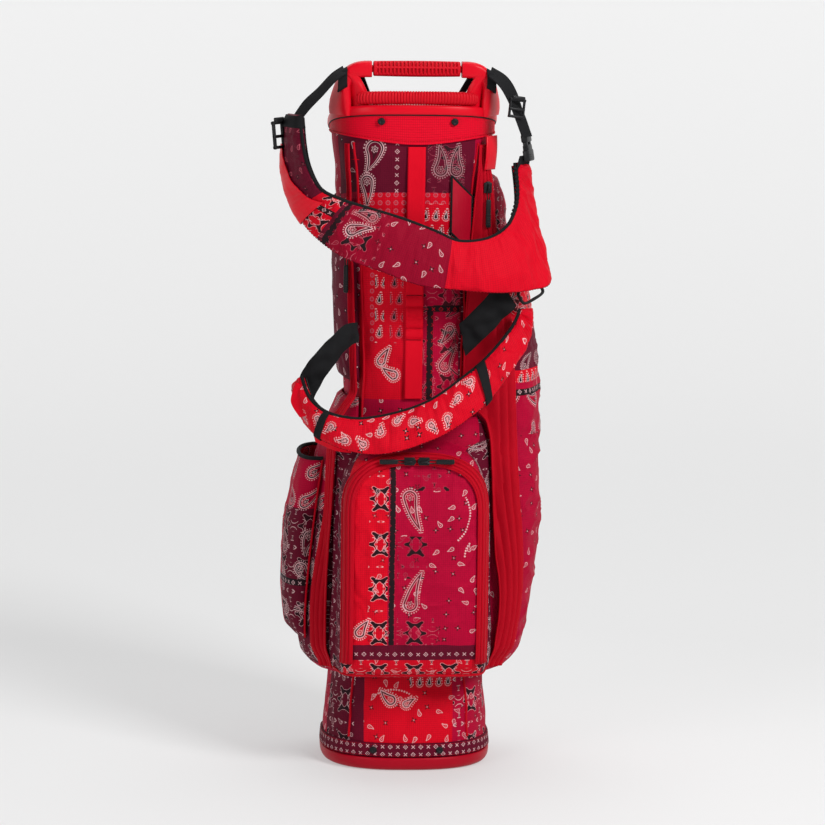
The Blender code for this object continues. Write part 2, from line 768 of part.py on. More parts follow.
def make_front_trim():
    """Centre webbing and the glove patch on the harness side."""
    low, high, half = 0.4700, 0.7840, 0.0110
    left, right = [], []
    for z in even(low, high, 16):
        for target, x in ((left, -half), (right, half)):
            angle = math.atan2(-0.09, x)
            target.append((x, -body_radius(angle, z) - 0.0024, z))
    ribbon("spine_webbing", left, right, 0.0018, 16, "red_webbing")

    def glove(across, along, lift):
        x = 0.0440 + 0.0260 * across
        z = 0.6780 - 0.0260 * across + 0.0700 * along
        angle = math.atan2(-0.0900, x)
        for _ in range(12):
            angle = math.acos(max(-1.0, min(1.0, x / body_radius(angle, z)))) * -1.0
        return (x, body_radius(angle, z) * math.sin(angle) - 0.0016 - lift, z)

    skin("glove_patch", 6, 6, glove, 0.0016, "red_webbing")


# ---------------------------------------------------------------- carrying harness
UPPER_INNER = (
    (-0.1445, -0.100, 0.8220), (-0.1400, -0.105, 0.7840), (-0.1325, -0.112, 0.7560),
    (-0.1185, -0.120, 0.7330), (-0.0945, -0.128, 0.7210), (-0.0630, -0.135, 0.7115),
    (-0.0190, -0.140, 0.6985), (0.0190, -0.142, 0.6845), (0.0500, -0.142, 0.6720),
    (0.0850, -0.138, 0.6750), (0.1125, -0.128, 0.6890), (0.1265, -0.115, 0.7115),
    (0.1290, -0.105, 0.7350), (0.1270, -0.095, 0.7630),
)
UPPER_OUTER = (
    (-0.1560, -0.040, 0.8200), (-0.1600, -0.045, 0.7820), (-0.1600, -0.058, 0.7440),
    (-0.1500, -0.078, 0.7090), (-0.1300, -0.102, 0.6790), (-0.0930, -0.128, 0.6520),
    (-0.0440, -0.144, 0.6345), (0.0010, -0.150, 0.6190), (0.0450, -0.152, 0.6140),
    (0.0960, -0.150, 0.6130), (0.1400, -0.136, 0.6170), (0.1680, -0.108, 0.6290),
    (0.1620, -0.078, 0.6760), (0.1480, -0.064, 0.7630),
)
LOWER_INNER = (
    (-0.1400, -0.112, 0.5010), (-0.1310, -0.128, 0.4780), (-0.1130, -0.142, 0.4620),
    (-0.0880, -0.150, 0.4550), (-0.0620, -0.155, 0.4545), (-0.0220, -0.160, 0.4630),
    (0.0180, -0.162, 0.4790), (0.0590, -0.158, 0.5080), (0.0870, -0.150, 0.5310),
    (0.1130, -0.135, 0.5590), (0.1240, -0.122, 0.5740), (0.1290, -0.114, 0.5860),
)
LOWER_OUTER = (
    (-0.1460, -0.070, 0.4860), (-0.1410, -0.098, 0.4540), (-0.1230, -0.130, 0.4320),
    (-0.0980, -0.153, 0.4200), (-0.0620, -0.167, 0.4130), (-0.0220, -0.174, 0.4175),
    (0.0310, -0.177, 0.4380), (0.0740, -0.173, 0.4670), (0.0950, -0.162, 0.4870),
    (0.1225, -0.140, 0.5220), (0.1410, -0.117, 0.5520), (0.1450, -0.104, 0.5860),
)


# webbing from the handle's ends to the upper pad, and wide elastic webs from the bag to the lower pad:
# name, one edge, other edge, thickness, number of sections
WEBS = (
    (
        "upper_web_left",
        (
            (-0.1130, -0.094, 0.8800), (-0.1270, -0.096, 0.8630), (-0.1390, -0.096, 0.8440),
            (-0.1475, -0.094, 0.8290),
        ),
        (
            (-0.1130, -0.074, 0.8790), (-0.1300, -0.074, 0.8610), (-0.1440, -0.074, 0.8440),
            (-0.1550, -0.074, 0.8290),
        ),
        0.0020,
        10,
    ),
    (
        "upper_web_right",
        (
            (0.1120, -0.100, 0.8760), (0.1200, -0.104, 0.8620), (0.1250, -0.106, 0.8450),
            (0.1280, -0.106, 0.8200), (0.1310, -0.104, 0.8020),
        ),
        (
            (0.1120, -0.078, 0.8770), (0.1240, -0.080, 0.8640), (0.1310, -0.082, 0.8450),
            (0.1340, -0.082, 0.8200), (0.1390, -0.082, 0.8020),
        ),
        0.0020,
        14,
    ),
    (
        "lower_web_left",
        (
            (-0.0800, -0.0920, 0.5600), (-0.0960, -0.1000, 0.5500), (-0.1120, -0.1030, 0.5370),
            (-0.1270, -0.1010, 0.5180),
        ),
        (
            (-0.0735, -0.0940, 0.5230), (-0.0880, -0.1000, 0.5130), (-0.1040, -0.1030, 0.5010),
            (-0.1190, -0.1010, 0.4860),
        ),
        0.0022,
        12,
    ),
    (
        "lower_web_right",
        (
            (0.0560, -0.1010, 0.5640), (0.0680, -0.1080, 0.5760), (0.0850, -0.1120, 0.5900),
            (0.0980, -0.1120, 0.6030),
        ),
        (
            (0.0660, -0.1010, 0.5250), (0.0860, -0.1080, 0.5420), (0.1040, -0.1110, 0.5580),
            (0.1170, -0.1100, 0.5740),
        ),
        0.0022,
        12,
    ),
)


def make_harness():
    ribbon("upper_strap_pad", UPPER_INNER, UPPER_OUTER, 0.0100, 34, "red_print")
    ribbon("lower_strap_pad", LOWER_INNER, LOWER_OUTER, 0.0100, 30, "red_print")

    for name, edge_a, edge_b, thickness, count in WEBS:
        ribbon(name, edge_a, edge_b, thickness, count, "black_webbing")


def frame_ring(name, centre, across, up, half_across, half_up, bar, finish_name, middle_bar=False):
    """A flat moulded loop, such as a strap ring or a ladder lock."""
    across, up = Vector(across).normalized(), Vector(up).normalized()
    normal = across.cross(up).normalized()
    centre = Vector(centre)
    loops = []
    for grow, lift in ((0.0, -bar / 2), (bar, -bar / 2), (bar, bar / 2), (0.0, bar / 2)):
        wide, tall = half_across + grow - bar, half_up + grow - bar
        loops.append(oblong(centre + normal * lift, across, up, wide, tall, 4.0, 20))
    piece = finish(name, loft(loops, capped=False), finish_name)
    if middle_bar:
        bm = bmesh.new()
        reach = half_across - bar / 2
        cylinder(bm, centre - across * reach, centre + across * reach, bar * 0.42, 10)
        boolean(piece, helper(name + "_bar", bm), "UNION")
    return piece


def make_hardware():
    # name, centre, across, up, half width, half height, thickness of its bars, with a middle bar
    for name, centre, across, up, wide, tall, bar, barred in (
        (
            "ladder_lock_right", (0.1260, -0.1130, 0.8330), (1, -0.2, -0.9), (0.35, 0, 0.9),
            0.0110, 0.0130, 0.0034, True,
        ),
        (
            "ladder_lock_left", (-0.1720, -0.0560, 0.7950), (0.25, 1, 0.0), (-0.12, 0, 1),
            0.0130, 0.0190, 0.0036, True,
        ),
        (
            "strap_ring", (0.1430, -0.0985, 0.6050), (0.75, 0.25, 0.42), (-0.45, 0.1, 0.85),
            0.0175, 0.0110, 0.0036, False,
        ),
    ):
        frame_ring(name, centre, across, up, wide, tall, bar, "black_plastic", barred)
    # side-release buckle between the right web and the pad
    across, up = Vector((0.35, 0.93, 0.0)).normalized(), Vector((-0.16, 0.03, 0.98)).normalized()
    normal = across.cross(up)
    turn = Matrix((across, up, normal)).transposed().to_4x4()
    for name, low, high, half in (
        ("buckle_socket", -0.0185, 0.0020, 0.0125),
        ("buckle_plug", 0.0026, 0.0150, 0.0115),
    ):
        bm = bmesh.new()
        box(bm, (-half, low, -0.0040), (half, high, 0.0040))
        bevelled(bm, 0.0012, 1)
        bmesh.ops.transform(bm, matrix=Matrix.Translation((0.1372, -0.0850, 0.7850)) @ turn, verts=bm.verts)
        finish(name, bm, "black_plastic")


def make_rivets():
    for name, x, z, offset in (
        ("cuff_rivet_left", -0.0440, 0.8150, 0.0040), ("cuff_rivet_right", 0.0460, 0.8150, 0.0040),
        ("base_rivet_left", -0.0450, 0.0275, 0.0036), ("base_rivet_right", 0.0380, 0.0275, 0.0036),
    ):
        p = hermite(BODY, z, 3)
        a, b = hermite(BODY, z, 1) + offset, hermite(BODY, z, 2) + offset
        y = -b * (1 - abs(x / a) ** p) ** (1 / p)
        lean = abs(x / a) ** (p - 1) / a
        slope = Vector((math.copysign(lean, x), -abs(y / b) ** (p - 1) / b, 0)).normalized()
        place = Vector((x, y, z))
        bm = bmesh.new()
        cylinder(bm, place, place + slope * 0.0016, 0.0042, 14)
        finish(name, bm, "black_plastic")


# ---------------------------------------------------------------- the stand
def swing(side):
    """Hinge axis and splay direction of one leg; side is 1 at the right and -1 at the left."""
    axis = Vector((math.cos(SPLAY), -side * math.sin(SPLAY), 0.0))
    out = Vector((side * math.sin(SPLAY), math.cos(SPLAY), 0.0))
    return axis, out


def turned_box(bm, centre, half_axis, half_out, low, high, side):
    """An upright box squared to one leg's hinge axis."""
    box(
        bm,
        (centre.x - half_axis, centre.y - half_out, low),
        (centre.x + half_axis, centre.y + half_out, high),
        -side * SPLAY,
        (centre.x, centre.y),
    )


def make_stand_side(label, side):
    axis, _ = swing(side)
    outward = axis * side
    pivot = Vector((side * LEG_X, LEG_Y, LEG_PIVOT_Z))

    bm = bmesh.new()
    cylinder(bm, pivot - axis * 0.0150, pivot + axis * 0.0150, 0.0025, 12)
    finish("leg_pin_" + label, bm, "spring_steel")

    bm = bmesh.new()
    cylinder(bm, pivot - axis * 0.0075, pivot + axis * 0.0075, 0.0085, 20)
    knuckle = finish("leg_knuckle_" + label, bm, "black_plastic")
    bm = bmesh.new()
    cylinder(bm, pivot, (pivot.x, pivot.y, LEG_TOP + 0.0004), 0.0070, 20)
    boolean(knuckle, helper("knuckle_stem_" + label, bm), "UNION")
    bm = bmesh.new()
    plug_top, plug_end = LEG_TOP + 0.0050, LEG_TOP - 0.0220
    cylinder(bm, (pivot.x, pivot.y, plug_top), (pivot.x, pivot.y, plug_end), LEG_BORE - 0.0004, 16)
    boolean(knuckle, helper("knuckle_plug_" + label, bm), "UNION")
    bm = bmesh.new()
    cylinder(bm, pivot - axis * 0.0200, pivot + axis * 0.0200, 0.0028, 12)
    boolean(knuckle, helper("knuckle_bore_" + label, bm), "DIFFERENCE")

    x, y = pivot.x, pivot.y
    wall = ((LEG_BORE, LEG_BOTTOM), (LEG_RADIUS, LEG_BOTTOM), (LEG_RADIUS, LEG_TOP), (LEG_BORE, LEG_TOP))
    lathe("leg_tube_" + label, wall, (x, y, 0.0), "aluminium_tube")
    boot = (
        (0.0000, 0.0460), (0.0065, 0.0460), (0.0092, 0.0490), (0.0096, 0.0600), (0.0085, 0.0820),
        (0.0072, 0.0860), (LEG_RADIUS + 0.0004, 0.0860), (LEG_RADIUS + 0.0004, 0.0612), (0.0000, 0.0612),
    )
    foot(label, boot, (x, y, 0.0))

    level = LEG_PIVOT_Z - CLIP_BELOW_PIVOT
    bm = bmesh.new()
    cylinder(bm, (x, y, level - 0.0150), (x, y, level + 0.0150), 0.0092, 20)
    clip = finish("leg_clip_" + label, bm, "black_plastic")
    lug_at = Vector((x, y, 0.0)) - outward * 0.0106
    bm = bmesh.new()
    turned_box(bm, lug_at, 0.0026, 0.0085, level - 0.0150, level + 0.0150, side)
    boolean(clip, helper("clip_lug_" + label, bm), "UNION")
    bm = bmesh.new()
    cylinder(bm, (x, y, level - 0.0200), (x, y, level + 0.0200), LEG_RADIUS + 0.0004, 20)
    boolean(clip, helper("clip_bore_" + label, bm), "DIFFERENCE")
    bm = bmesh.new()
    turned_box(bm, lug_at - outward * 0.0012, 0.0042, 0.0034, level - 0.0105, level + 0.0105, side)
    boolean(clip, helper("clip_slot_" + label, bm), "DIFFERENCE")

    rod = Vector((x, y, 0.0)) - outward * ROD_OFFSET
    top, bottom = level, level - ROD_LENGTH
    hook = 0.0036
    points = [
        rod - outward * 0.0110 + Vector((0, 0, bottom)),
        rod - outward * hook + Vector((0, 0, bottom)),
        rod - outward * 0.3 * hook + Vector((0, 0, bottom + 0.3 * hook)),
        rod + Vector((0, 0, bottom + hook)),
        rod + Vector((0, 0, top - hook)),
        rod + outward * 0.3 * hook + Vector((0, 0, top - 0.3 * hook)),
        rod + outward * hook + Vector((0, 0, top)),
        rod + outward * 0.0092 + Vector((0, 0, top)),
    ]
    tube("push_rod_" + label, points, ROD_RADIUS, "spring_steel", sides=2)


def foot(label, profile, place):
    """A rubber boot on the end of a leg, turned from its outer and inner outline."""
    bm = bmesh.new()
    corners = [bm.verts.new((radius, 0.0, height)) for radius, height in profile]
    edges = [bm.edges.new(pair) for pair in zip(corners, corners[1:])]
    bmesh.ops.spin(
        bm,
        geom=edges,
        cent=(0, 0, 0),
        axis=(0, 0, 1),
        angle=math.tau,
        steps=20,
        use_merge=True,
        use_duplicate=False,
    )
    bmesh.ops.remove_doubles(bm, verts=bm.verts, dist=1e-6)
    made = finish("leg_foot_" + label, bm, "black_rubber")
    made.location = place


def make_bracket():
    """Moulded hinge bracket on the leg side of the collar."""
    back = 0.1010
    bm = bmesh.new()
    box(bm, (-0.0670, back, 0.7590), (0.0670, back + 0.0060, 0.7880))
    bevelled(bm, 0.0010, 1)
    bracket = finish("leg_bracket", bm, "red_plastic")
    for label, side in (("left", -1), ("right", 1)):
        axis, out = swing(side)
        pivot = Vector((side * LEG_X, LEG_Y, LEG_PIVOT_Z))
        for which, reach in (("inner", -0.0115), ("outer", 0.0115)):
            ear = pivot + axis * side * reach
            bm = bmesh.new()
            low, high = LEG_PIVOT_Z - 0.0090, LEG_PIVOT_Z + 0.0100
            turned_box(bm, ear - out * 0.0110, 0.0032, 0.0205, low, high, side)
            boolean(bracket, helper(f"ear_{which}_{label}", bm), "UNION")
        bm = bmesh.new()
        cylinder(bm, pivot - axis * 0.0300, pivot + axis * 0.0300, 0.0028, 12)
        boolean(bracket, helper(f"ear_bore_{label}", bm), "DIFFERENCE")
        bm = bmesh.new()
        box(bm, (side * LEG_X - 0.05, 0.05, 0.74), (side * LEG_X + 0.05, back, 0.80))
        boolean(bracket, helper(f"ear_trim_{label}", bm), "DIFFERENCE")


def make_push_shoe():
    """The foot plate that the ground pushes up as the bag leans, with a lug for each rod."""
    pivot_z = LEG_PIVOT_Z - CLIP_BELOW_PIVOT - ROD_LENGTH
    bm = bmesh.new()
    box(bm, (-0.0260, 0.1240, 0.0040), (0.0260, 0.1420, 0.0120))
    bevelled(bm, 0.0015, 1)
    shoe = finish("push_shoe", bm, "black_plastic")
    bm = bmesh.new()
    box(bm, (-0.0140, 0.1260, 0.0080), (0.0140, 0.1320, pivot_z + 0.0060))
    boolean(shoe, helper("shoe_web", bm), "UNION")
    for label, side in (("left", -1), ("right", 1)):
        axis, _ = swing(side)
        outward = axis * side
        rod = Vector((side * LEG_X, LEG_Y, 0.0)) - outward * ROD_OFFSET
        lug = rod - outward * 0.0075
        bm = bmesh.new()
        turned_box(bm, lug, 0.0028, 0.0060, 0.0060, pivot_z + 0.0070, side)
        boolean(shoe, helper("shoe_lug_" + label, bm), "UNION")
        bm = bmesh.new()
        start = rod + Vector((0, 0, pivot_z)) - outward * 0.0145
        cylinder(bm, start, rod + Vector((0, 0, pivot_z)) - outward * 0.0020, ROD_RADIUS + 0.0006, 12)
        boolean(shoe, helper("shoe_bore_" + label, bm), "DIFFERENCE")

    low, high = 0.0500, 0.1100
    back = 0.1015
    bm = bmesh.new()
    box(bm, (-0.0300, back, low), (0.0300, back + 0.0040, high))
    guide = finish("shoe_guide", bm, "black_plastic")
    for label, side in (("left", -1), ("right", 1)):
        bm = bmesh.new()
        inner, outer = sorted((side * 0.0155, side * 0.0210))
        box(bm, (inner, back + 0.0020, low), (outer, 0.1238, high))
        boolean(guide, helper("guide_rail_" + label, bm), "UNION")


def main():
    clear_scene()
    make_base()
    make_shell()
    make_collar()
    make_rim_grip()
    make_handle()
    make_divider()
    make_stays()
    make_pockets()
    make_bottle_pouch()
    make_side_zips()
    make_ball_zip()
    make_sliders()
    make_front_trim()
    make_harness()
    make_hardware()
    make_rivets()
    make_bracket()
    make_push_shoe()
    for label, side in (("left", -1), ("right", 1)):
        make_stand_side(label, side)


main()
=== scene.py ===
"""Golf stand bag: printed ripstop, moulded collar, handle and base, padded straps and a folding stand."""

import math

import bmesh
import bpy
from mathutils import Matrix, Vector, kdtree, noise


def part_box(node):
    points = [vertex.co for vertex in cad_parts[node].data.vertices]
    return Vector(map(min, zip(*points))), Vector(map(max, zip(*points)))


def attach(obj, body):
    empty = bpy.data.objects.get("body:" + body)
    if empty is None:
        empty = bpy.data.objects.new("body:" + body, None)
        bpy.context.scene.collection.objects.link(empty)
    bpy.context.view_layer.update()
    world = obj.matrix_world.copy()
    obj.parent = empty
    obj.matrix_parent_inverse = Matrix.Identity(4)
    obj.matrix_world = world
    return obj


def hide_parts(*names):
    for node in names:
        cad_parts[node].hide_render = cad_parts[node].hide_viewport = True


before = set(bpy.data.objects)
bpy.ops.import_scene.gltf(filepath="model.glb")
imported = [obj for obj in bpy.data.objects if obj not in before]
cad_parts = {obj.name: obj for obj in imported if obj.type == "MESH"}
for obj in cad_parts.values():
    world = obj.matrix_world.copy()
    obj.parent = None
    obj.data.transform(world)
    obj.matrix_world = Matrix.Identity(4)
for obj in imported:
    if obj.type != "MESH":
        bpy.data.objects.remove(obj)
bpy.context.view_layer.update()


# ================================================================ colours, linear
BRIGHT_RED = (0.64, 0.0015, 0.014)
CRIMSON = (0.42, 0.001, 0.03)
BURGUNDY = (0.115, 0.0035, 0.018)
INK = (0.012, 0.008, 0.01)
CHALK = (0.82, 0.5, 0.52)
MOULDED_RED = (0.58, 0.0015, 0.012)
WEB_RED = (0.6, 0.0015, 0.014)
BLACK = (0.012, 0.012, 0.013)


# ================================================================ shapes shared by many pieces
def even(start, end, count):
    return [start + (end - start) * k / (count - 1) for k in range(count)]


def hermite(table, x, column=1):
    """A smooth curve through one column of a table whose first column is x."""
    last = len(table) - 1
    if x <= table[0][0]:
        return table[0][column]
    if x >= table[last][0]:
        return table[last][column]
    i = max(k for k in range(last) if table[k][0] <= x)

    def slope(k):
        low, high = max(k - 1, 0), min(k + 1, last)
        return (table[high][column] - table[low][column]) / (table[high][0] - table[low][0])

    span = table[i + 1][0] - table[i][0]
    t = (x - table[i][0]) / span
    start, end = table[i][column], table[i + 1][column]
    return (
        (1 + 2 * t) * (1 - t) ** 2 * start
        + t * (1 - t) ** 2 * span * slope(i)
        + t * t * (3 - 2 * t) * end
        + t * t * (t - 1) * span * slope(i + 1)
    )


def on_curve(points, t):
    """A point of the smooth curve through the given points, for t from 0 to 1."""
    last = len(points) - 1
    s = min(max(t, 0.0), 1.0) * last
    i = min(int(s), last - 1)
    t = s - i
    p0, p1 = Vector(points[max(i - 1, 0)]), Vector(points[i])
    p2, p3 = Vector(points[i + 1]), Vector(points[min(i + 2, last)])
    cubic = (3 * p1 - p0 - 3 * p2 + p3) * t ** 3
    return 0.5 * (2 * p1 + (p2 - p0) * t + (2 * p0 - 5 * p1 + 4 * p2 - p3) * t * t + cubic)


def length_of(points):
    places = [on_curve(points, t) for t in even(0.0, 1.0, 60)]
    return sum((b - a).length for a, b in zip(places, places[1:]))


def crumple(place, size, height, seed=0.0):
    """Soft irregular rise and fall of cloth at a place."""
    return height * noise.noise(Vector(place) / size + Vector((seed, seed * 1.7, 0.0)))


def smooth_step(low, high, x):
    t = min(max((x - low) / (high - low), 0.0), 1.0)
    return t * t * (3 - 2 * t)


def polar(angle, radius, height):
    return Vector((radius * math.cos(angle), radius * math.sin(angle), height))


# ================================================================ making pieces
def facing_out(bm):
    bmesh.ops.recalc_face_normals(bm, faces=bm.faces)
    return bm


def into_scene(name, bm, body="root", smooth=40.0, turn_out=False):
    """Makes a bmesh a piece that rides on a body."""
    if turn_out:
        facing_out(bm)
    mesh = bpy.data.meshes.new(name)
    bm.to_mesh(mesh)
    bm.free()
    mesh.shade_smooth()
    mesh.set_sharp_from_angle(angle=math.radians(smooth))
    piece = bpy.data.objects.new(name, mesh)
    bpy.context.scene.collection.objects.link(piece)
    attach(piece, body)
    return piece


def woven(columns, rows, place, seam=False, low=0.0):
    """A grid of faces laid on a surface: place(u, v) gives its points, and its UV map is in metres.

    The map's u is 0 along the middle of the piece, and its v starts at the given low.
    """
    bm = bmesh.new()
    uv = bm.loops.layers.uv.new("UVMap")
    bmesh.ops.create_grid(bm, x_segments=columns, y_segments=rows, size=0.5)
    places = [[Vector(place(i / columns, j / rows)) for i in range(columns + 1)] for j in range(rows + 1)]
    middle = columns // 2
    up = [low]
    for one, two in zip(places, places[1:]):
        up.append(up[-1] + sum((two[i] - one[i]).length for i in (0, middle)) / 2)
    across = []
    for row in places:
        runs = [0.0]
        for one, two in zip(row, row[1:]):
            runs.append(runs[-1] + (two - one).length)
        across.append([run - runs[middle] for run in runs])
    spot = {
        vert.index: (round((vert.co.x + 0.5) * columns), round((vert.co.y + 0.5) * rows)) for vert in bm.verts
    }
    for face in bm.faces:
        for loop in face.loops:
            i, j = spot[loop.vert.index]
            loop[uv].uv = (across[j][i], up[j])
    for vert in bm.verts:
        i, j = spot[vert.index]
        vert.co = places[j][i]
    if seam:
        bmesh.ops.remove_doubles(bm, verts=bm.verts, dist=1e-6)
    return bm


def close_ends(bm):
    """Fills the open ends of a tube."""
    open_edges = [edge for edge in bm.edges if edge.is_boundary]
    bmesh.ops.holes_fill(bm, edges=open_edges, sides=0)
    return bm


def thicken(piece, thickness, offset=-1.0):
    wall = piece.modifiers.new("wall", "SOLIDIFY")
    wall.thickness = thickness
    wall.offset = offset
    return piece


def round_edges(piece):
    edge = piece.modifiers.new("edge", "BEVEL")
    edge.width = 0.0004
    edge.segments = 2
    edge.limit_method = "ANGLE"
    edge.angle_limit = math.radians(30.0)
    return piece


def frames_along(points, steps):
    """Places along a curve, each with two directions square to it that don't twist."""
    places = [on_curve(points, t) for t in even(0.0, 1.0, steps + 1)]
    made = []
    side = None
    for k, place in enumerate(places):
        along = (places[min(k + 1, steps)] - places[max(k - 1, 0)]).normalized()
        if side is None:
            side = along.orthogonal().normalized()
        side = (side - along * side.dot(along)).normalized()
        made.append((place, side, along.cross(side)))
    return made


def bar_along(points, radius, sides=10, steps=40, ends=True):
    """A round bar or cord along a curve; its radius may vary along it."""
    stations = frames_along(points, steps)

    def place(u, v):
        middle, side, up = stations[round(v * steps)]
        r = radius(v) if callable(radius) else radius
        return middle + side * (r * math.cos(math.tau * u)) + up * (r * math.sin(math.tau * u))

    bm = woven(sides, steps, place, seam=True)
    return close_ends(bm) if ends else bm


def turned(profile, sides=32):
    """A turned shape: a closed or axis-to-axis profile of (radius, height) spun about Z."""
    bm = bmesh.new()
    corners = [bm.verts.new((radius, 0.0, height)) for radius, height in profile]
    edges = [bm.edges.new(pair) for pair in zip(corners, corners[1:])]
    if profile[0][0] > 0 and profile[-1][0] > 0:
        edges.append(bm.edges.new((corners[-1], corners[0])))
    bmesh.ops.spin(
        bm, geom=edges, cent=(0, 0, 0), axis=(0, 0, 1), angle=math.tau, steps=sides,
        use_merge=True, use_duplicate=False,
    )
    bmesh.ops.remove_doubles(bm, verts=bm.verts, dist=1e-6)
    return bm


def block(low, high, bevel=0.0, segments=2):
    """A box between two corners, with its edges rounded."""
    low, high = Vector(low), Vector(high)
    bm = bmesh.new()
    place = Matrix.Translation((low + high) / 2) @ Matrix.Diagonal((*(high - low), 1.0))
    bmesh.ops.create_cube(bm, size=1.0, matrix=place)
    if bevel:
        bmesh.ops.bevel(
            bm, geom=bm.edges[:], offset=bevel, offset_type="OFFSET", segments=segments,
            profile=0.5, affect="EDGES", material=-1,
        )
    return bm


def moved(bm, matrix):
    bmesh.ops.transform(bm, matrix=matrix, verts=bm.verts)
    return bm


def joined(*parts):
    """Several bmeshes as one."""
    whole = parts[0]
    for part in parts[1:]:
        mesh = bpy.data.meshes.new("part")
        part.to_mesh(mesh)
        part.free()
        whole.from_mesh(mesh)
        bpy.data.meshes.remove(mesh)
    return whole


def axes_at(place, across, along, normal):
    return Matrix.Translation(Vector(place)) @ Matrix((across, along, normal)).transposed().to_4x4()


def squared(across, along):
    """Three directions square to each other, from two that nearly are."""
    across = Vector(across).normalized()
    along = Vector(along)
    along = (along - across * along.dot(across)).normalized()
    return across, along, across.cross(along)


FINISHES = {}
SLOT_FINISHES = {
    "red_print": ("body_print", "ball_print", "flank_print", "left_print", "upper_pad_print",
                  "lower_pad_print"),
    "burgundy_print": ("burgundy_cloth", "binding_print"),
    "red_plastic": ("moulded", "moulded_red_painted_shade"),
    "red_rubber": ("soft_grip",),
    "red_webbing": ("cuff_ripstop", "thread_red", "thread_dark", "red_cord", "zip_tape", "red_web",
                    "red_satin", "dark_satin"),
    "black_webbing": ("black_web", "black_rubber_cord", "black_lining", "spacer_mesh"),
    "black_plastic": ("black_moulded",),
    "black_rubber": ("black_rubber",),
    "aluminium_tube": ("aluminium",),
    "spring_steel": ("steel",),
    "glass_fibre": ("glass_fibre",),
}
SLOTS = {finish: slot_name for slot_name, names in SLOT_FINISHES.items() for finish in names}


def dressed(piece, finish, node=None, slot_name=None):
    """Gives a piece its finish, and puts it in a CAD node's place."""
    piece.data.materials.clear()
    piece.data.materials.append(FINISHES[finish])
    slot_name or SLOTS[finish]
    if node:
        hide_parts(node)
    return piece


def piping(name, points, radius, steps, finish="red_cord", sides=8, ends=True):
    """A round cord sewn on along a path."""
    return dressed(into_scene(name, bar_along(points, radius, sides, steps, ends)), finish)


# ================================================================ the bag's own outlines
# height, half width, half depth, squareness
BODY = (
    (0.0, 0.107, 0.102, 2.5),
    (0.03, 0.104, 0.1, 2.5),
    (0.12, 0.096, 0.094, 2.4),
    (0.3, 0.088, 0.088, 2.4),
    (0.48, 0.081, 0.086, 2.4),
    (0.6, 0.0855, 0.088, 2.5),
    (0.72, 0.093, 0.092, 2.8),
    (0.79, 0.0995, 0.0955, 3.1),
    (0.86, 0.0995, 0.0955, 3.1),
)
RIM_NEAR, RIM_FAR, COLLAR_HALF_Y = 0.8355, 0.8, 0.0955
BAND_HEIGHT = 0.0125


def superellipse(angle, half_x, half_y, square):
    x, y = abs(math.cos(angle) / half_x), abs(math.sin(angle) / half_y)
    return (x ** square + y ** square) ** (-1.0 / square)


def body_radius(angle, height):
    return superellipse(angle, hermite(BODY, height, 1), hermite(BODY, height, 2), hermite(BODY, height, 3))


def rim_plane(y):
    return (RIM_NEAR + RIM_FAR) / 2 - (RIM_NEAR - RIM_FAR) / 2 * y / COLLAR_HALF_Y


def around(u):
    """Angle round the bag for u from 0 to 1, starting at the back."""
    return math.pi / 2 + math.tau * u


# ================================================================ base, body and collar
def make_base():
    outline = (
        (-0.06, 0.0), (-0.016, 0.0), (-0.009, 0.0004), (-0.004, 0.0024), (-0.0012, 0.0064),
        (-0.0002, 0.011), (0.0, 0.0148), (-0.0008, 0.0168), (-0.0028, 0.0174), (-0.007, 0.0174),
        (-0.01, 0.018), (-0.0106, 0.044), (-0.012, 0.045), (-0.015, 0.044), (-0.016, 0.02),
        (-0.019, 0.006), (-0.065, 0.005),
    )

    def place(u, v):
        offset, z = on_curve([(*corner, 0.0) for corner in outline], v)[:2]
        angle = around(u)
        return polar(angle, superellipse(angle, 0.1075, 0.103, 2.5) + offset, max(z, 0.0))

    bm = close_ends(woven(96, 64, place, seam=True))
    # the base moulding gets the darker copy of the moulded red: painted shade
    dressed(into_scene("base_moulding", bm, turn_out=True), "moulded_red_painted_shade", "base_cup")
    low, height = 0.0182, 0.0178

    def band(u, v):
        angle = around(u)
        z = low + height * v
        puff = 0.0024 * math.sqrt(max(0.0, 1.0 - abs(2.0 * v - 1.0) ** 5))
        lift = 0.0008 + puff + crumple(polar(angle, 0.1, z), 0.02, 0.0004)
        return polar(angle, body_radius(angle, z) + lift, z)

    binding = into_scene("base_binding_band", woven(160, 10, band, seam=True))
    dressed(thicken(binding, 0.0005), "binding_print", "base_binding")
    for name, z in (("low", 0.0203), ("high", 0.034)):
        points = [band(u, (z - low) / height) for u in even(0.0, 1.0, 97)]
        row = stitches("binding_stitches_" + name, points, 0.004, 0.00035)
        dressed(row, "thread_red", slot_name="burgundy_print")


def near_points(points, reach):
    """A test for places within reach of some points."""
    tree = kdtree.KDTree(len(points))
    for index, point in enumerate(points):
        tree.insert(point, index)
    tree.balance()
    return lambda place: tree.find(place)[2] < reach


def border_of(piece):
    """Where a sheet's open edges are."""
    bm = bmesh.new()
    bm.from_mesh(piece.data)
    points = [vertex.co.copy() for vertex in bm.verts if vertex.is_boundary]
    bm.free()
    return points


CLOTH_FRAMES = 18


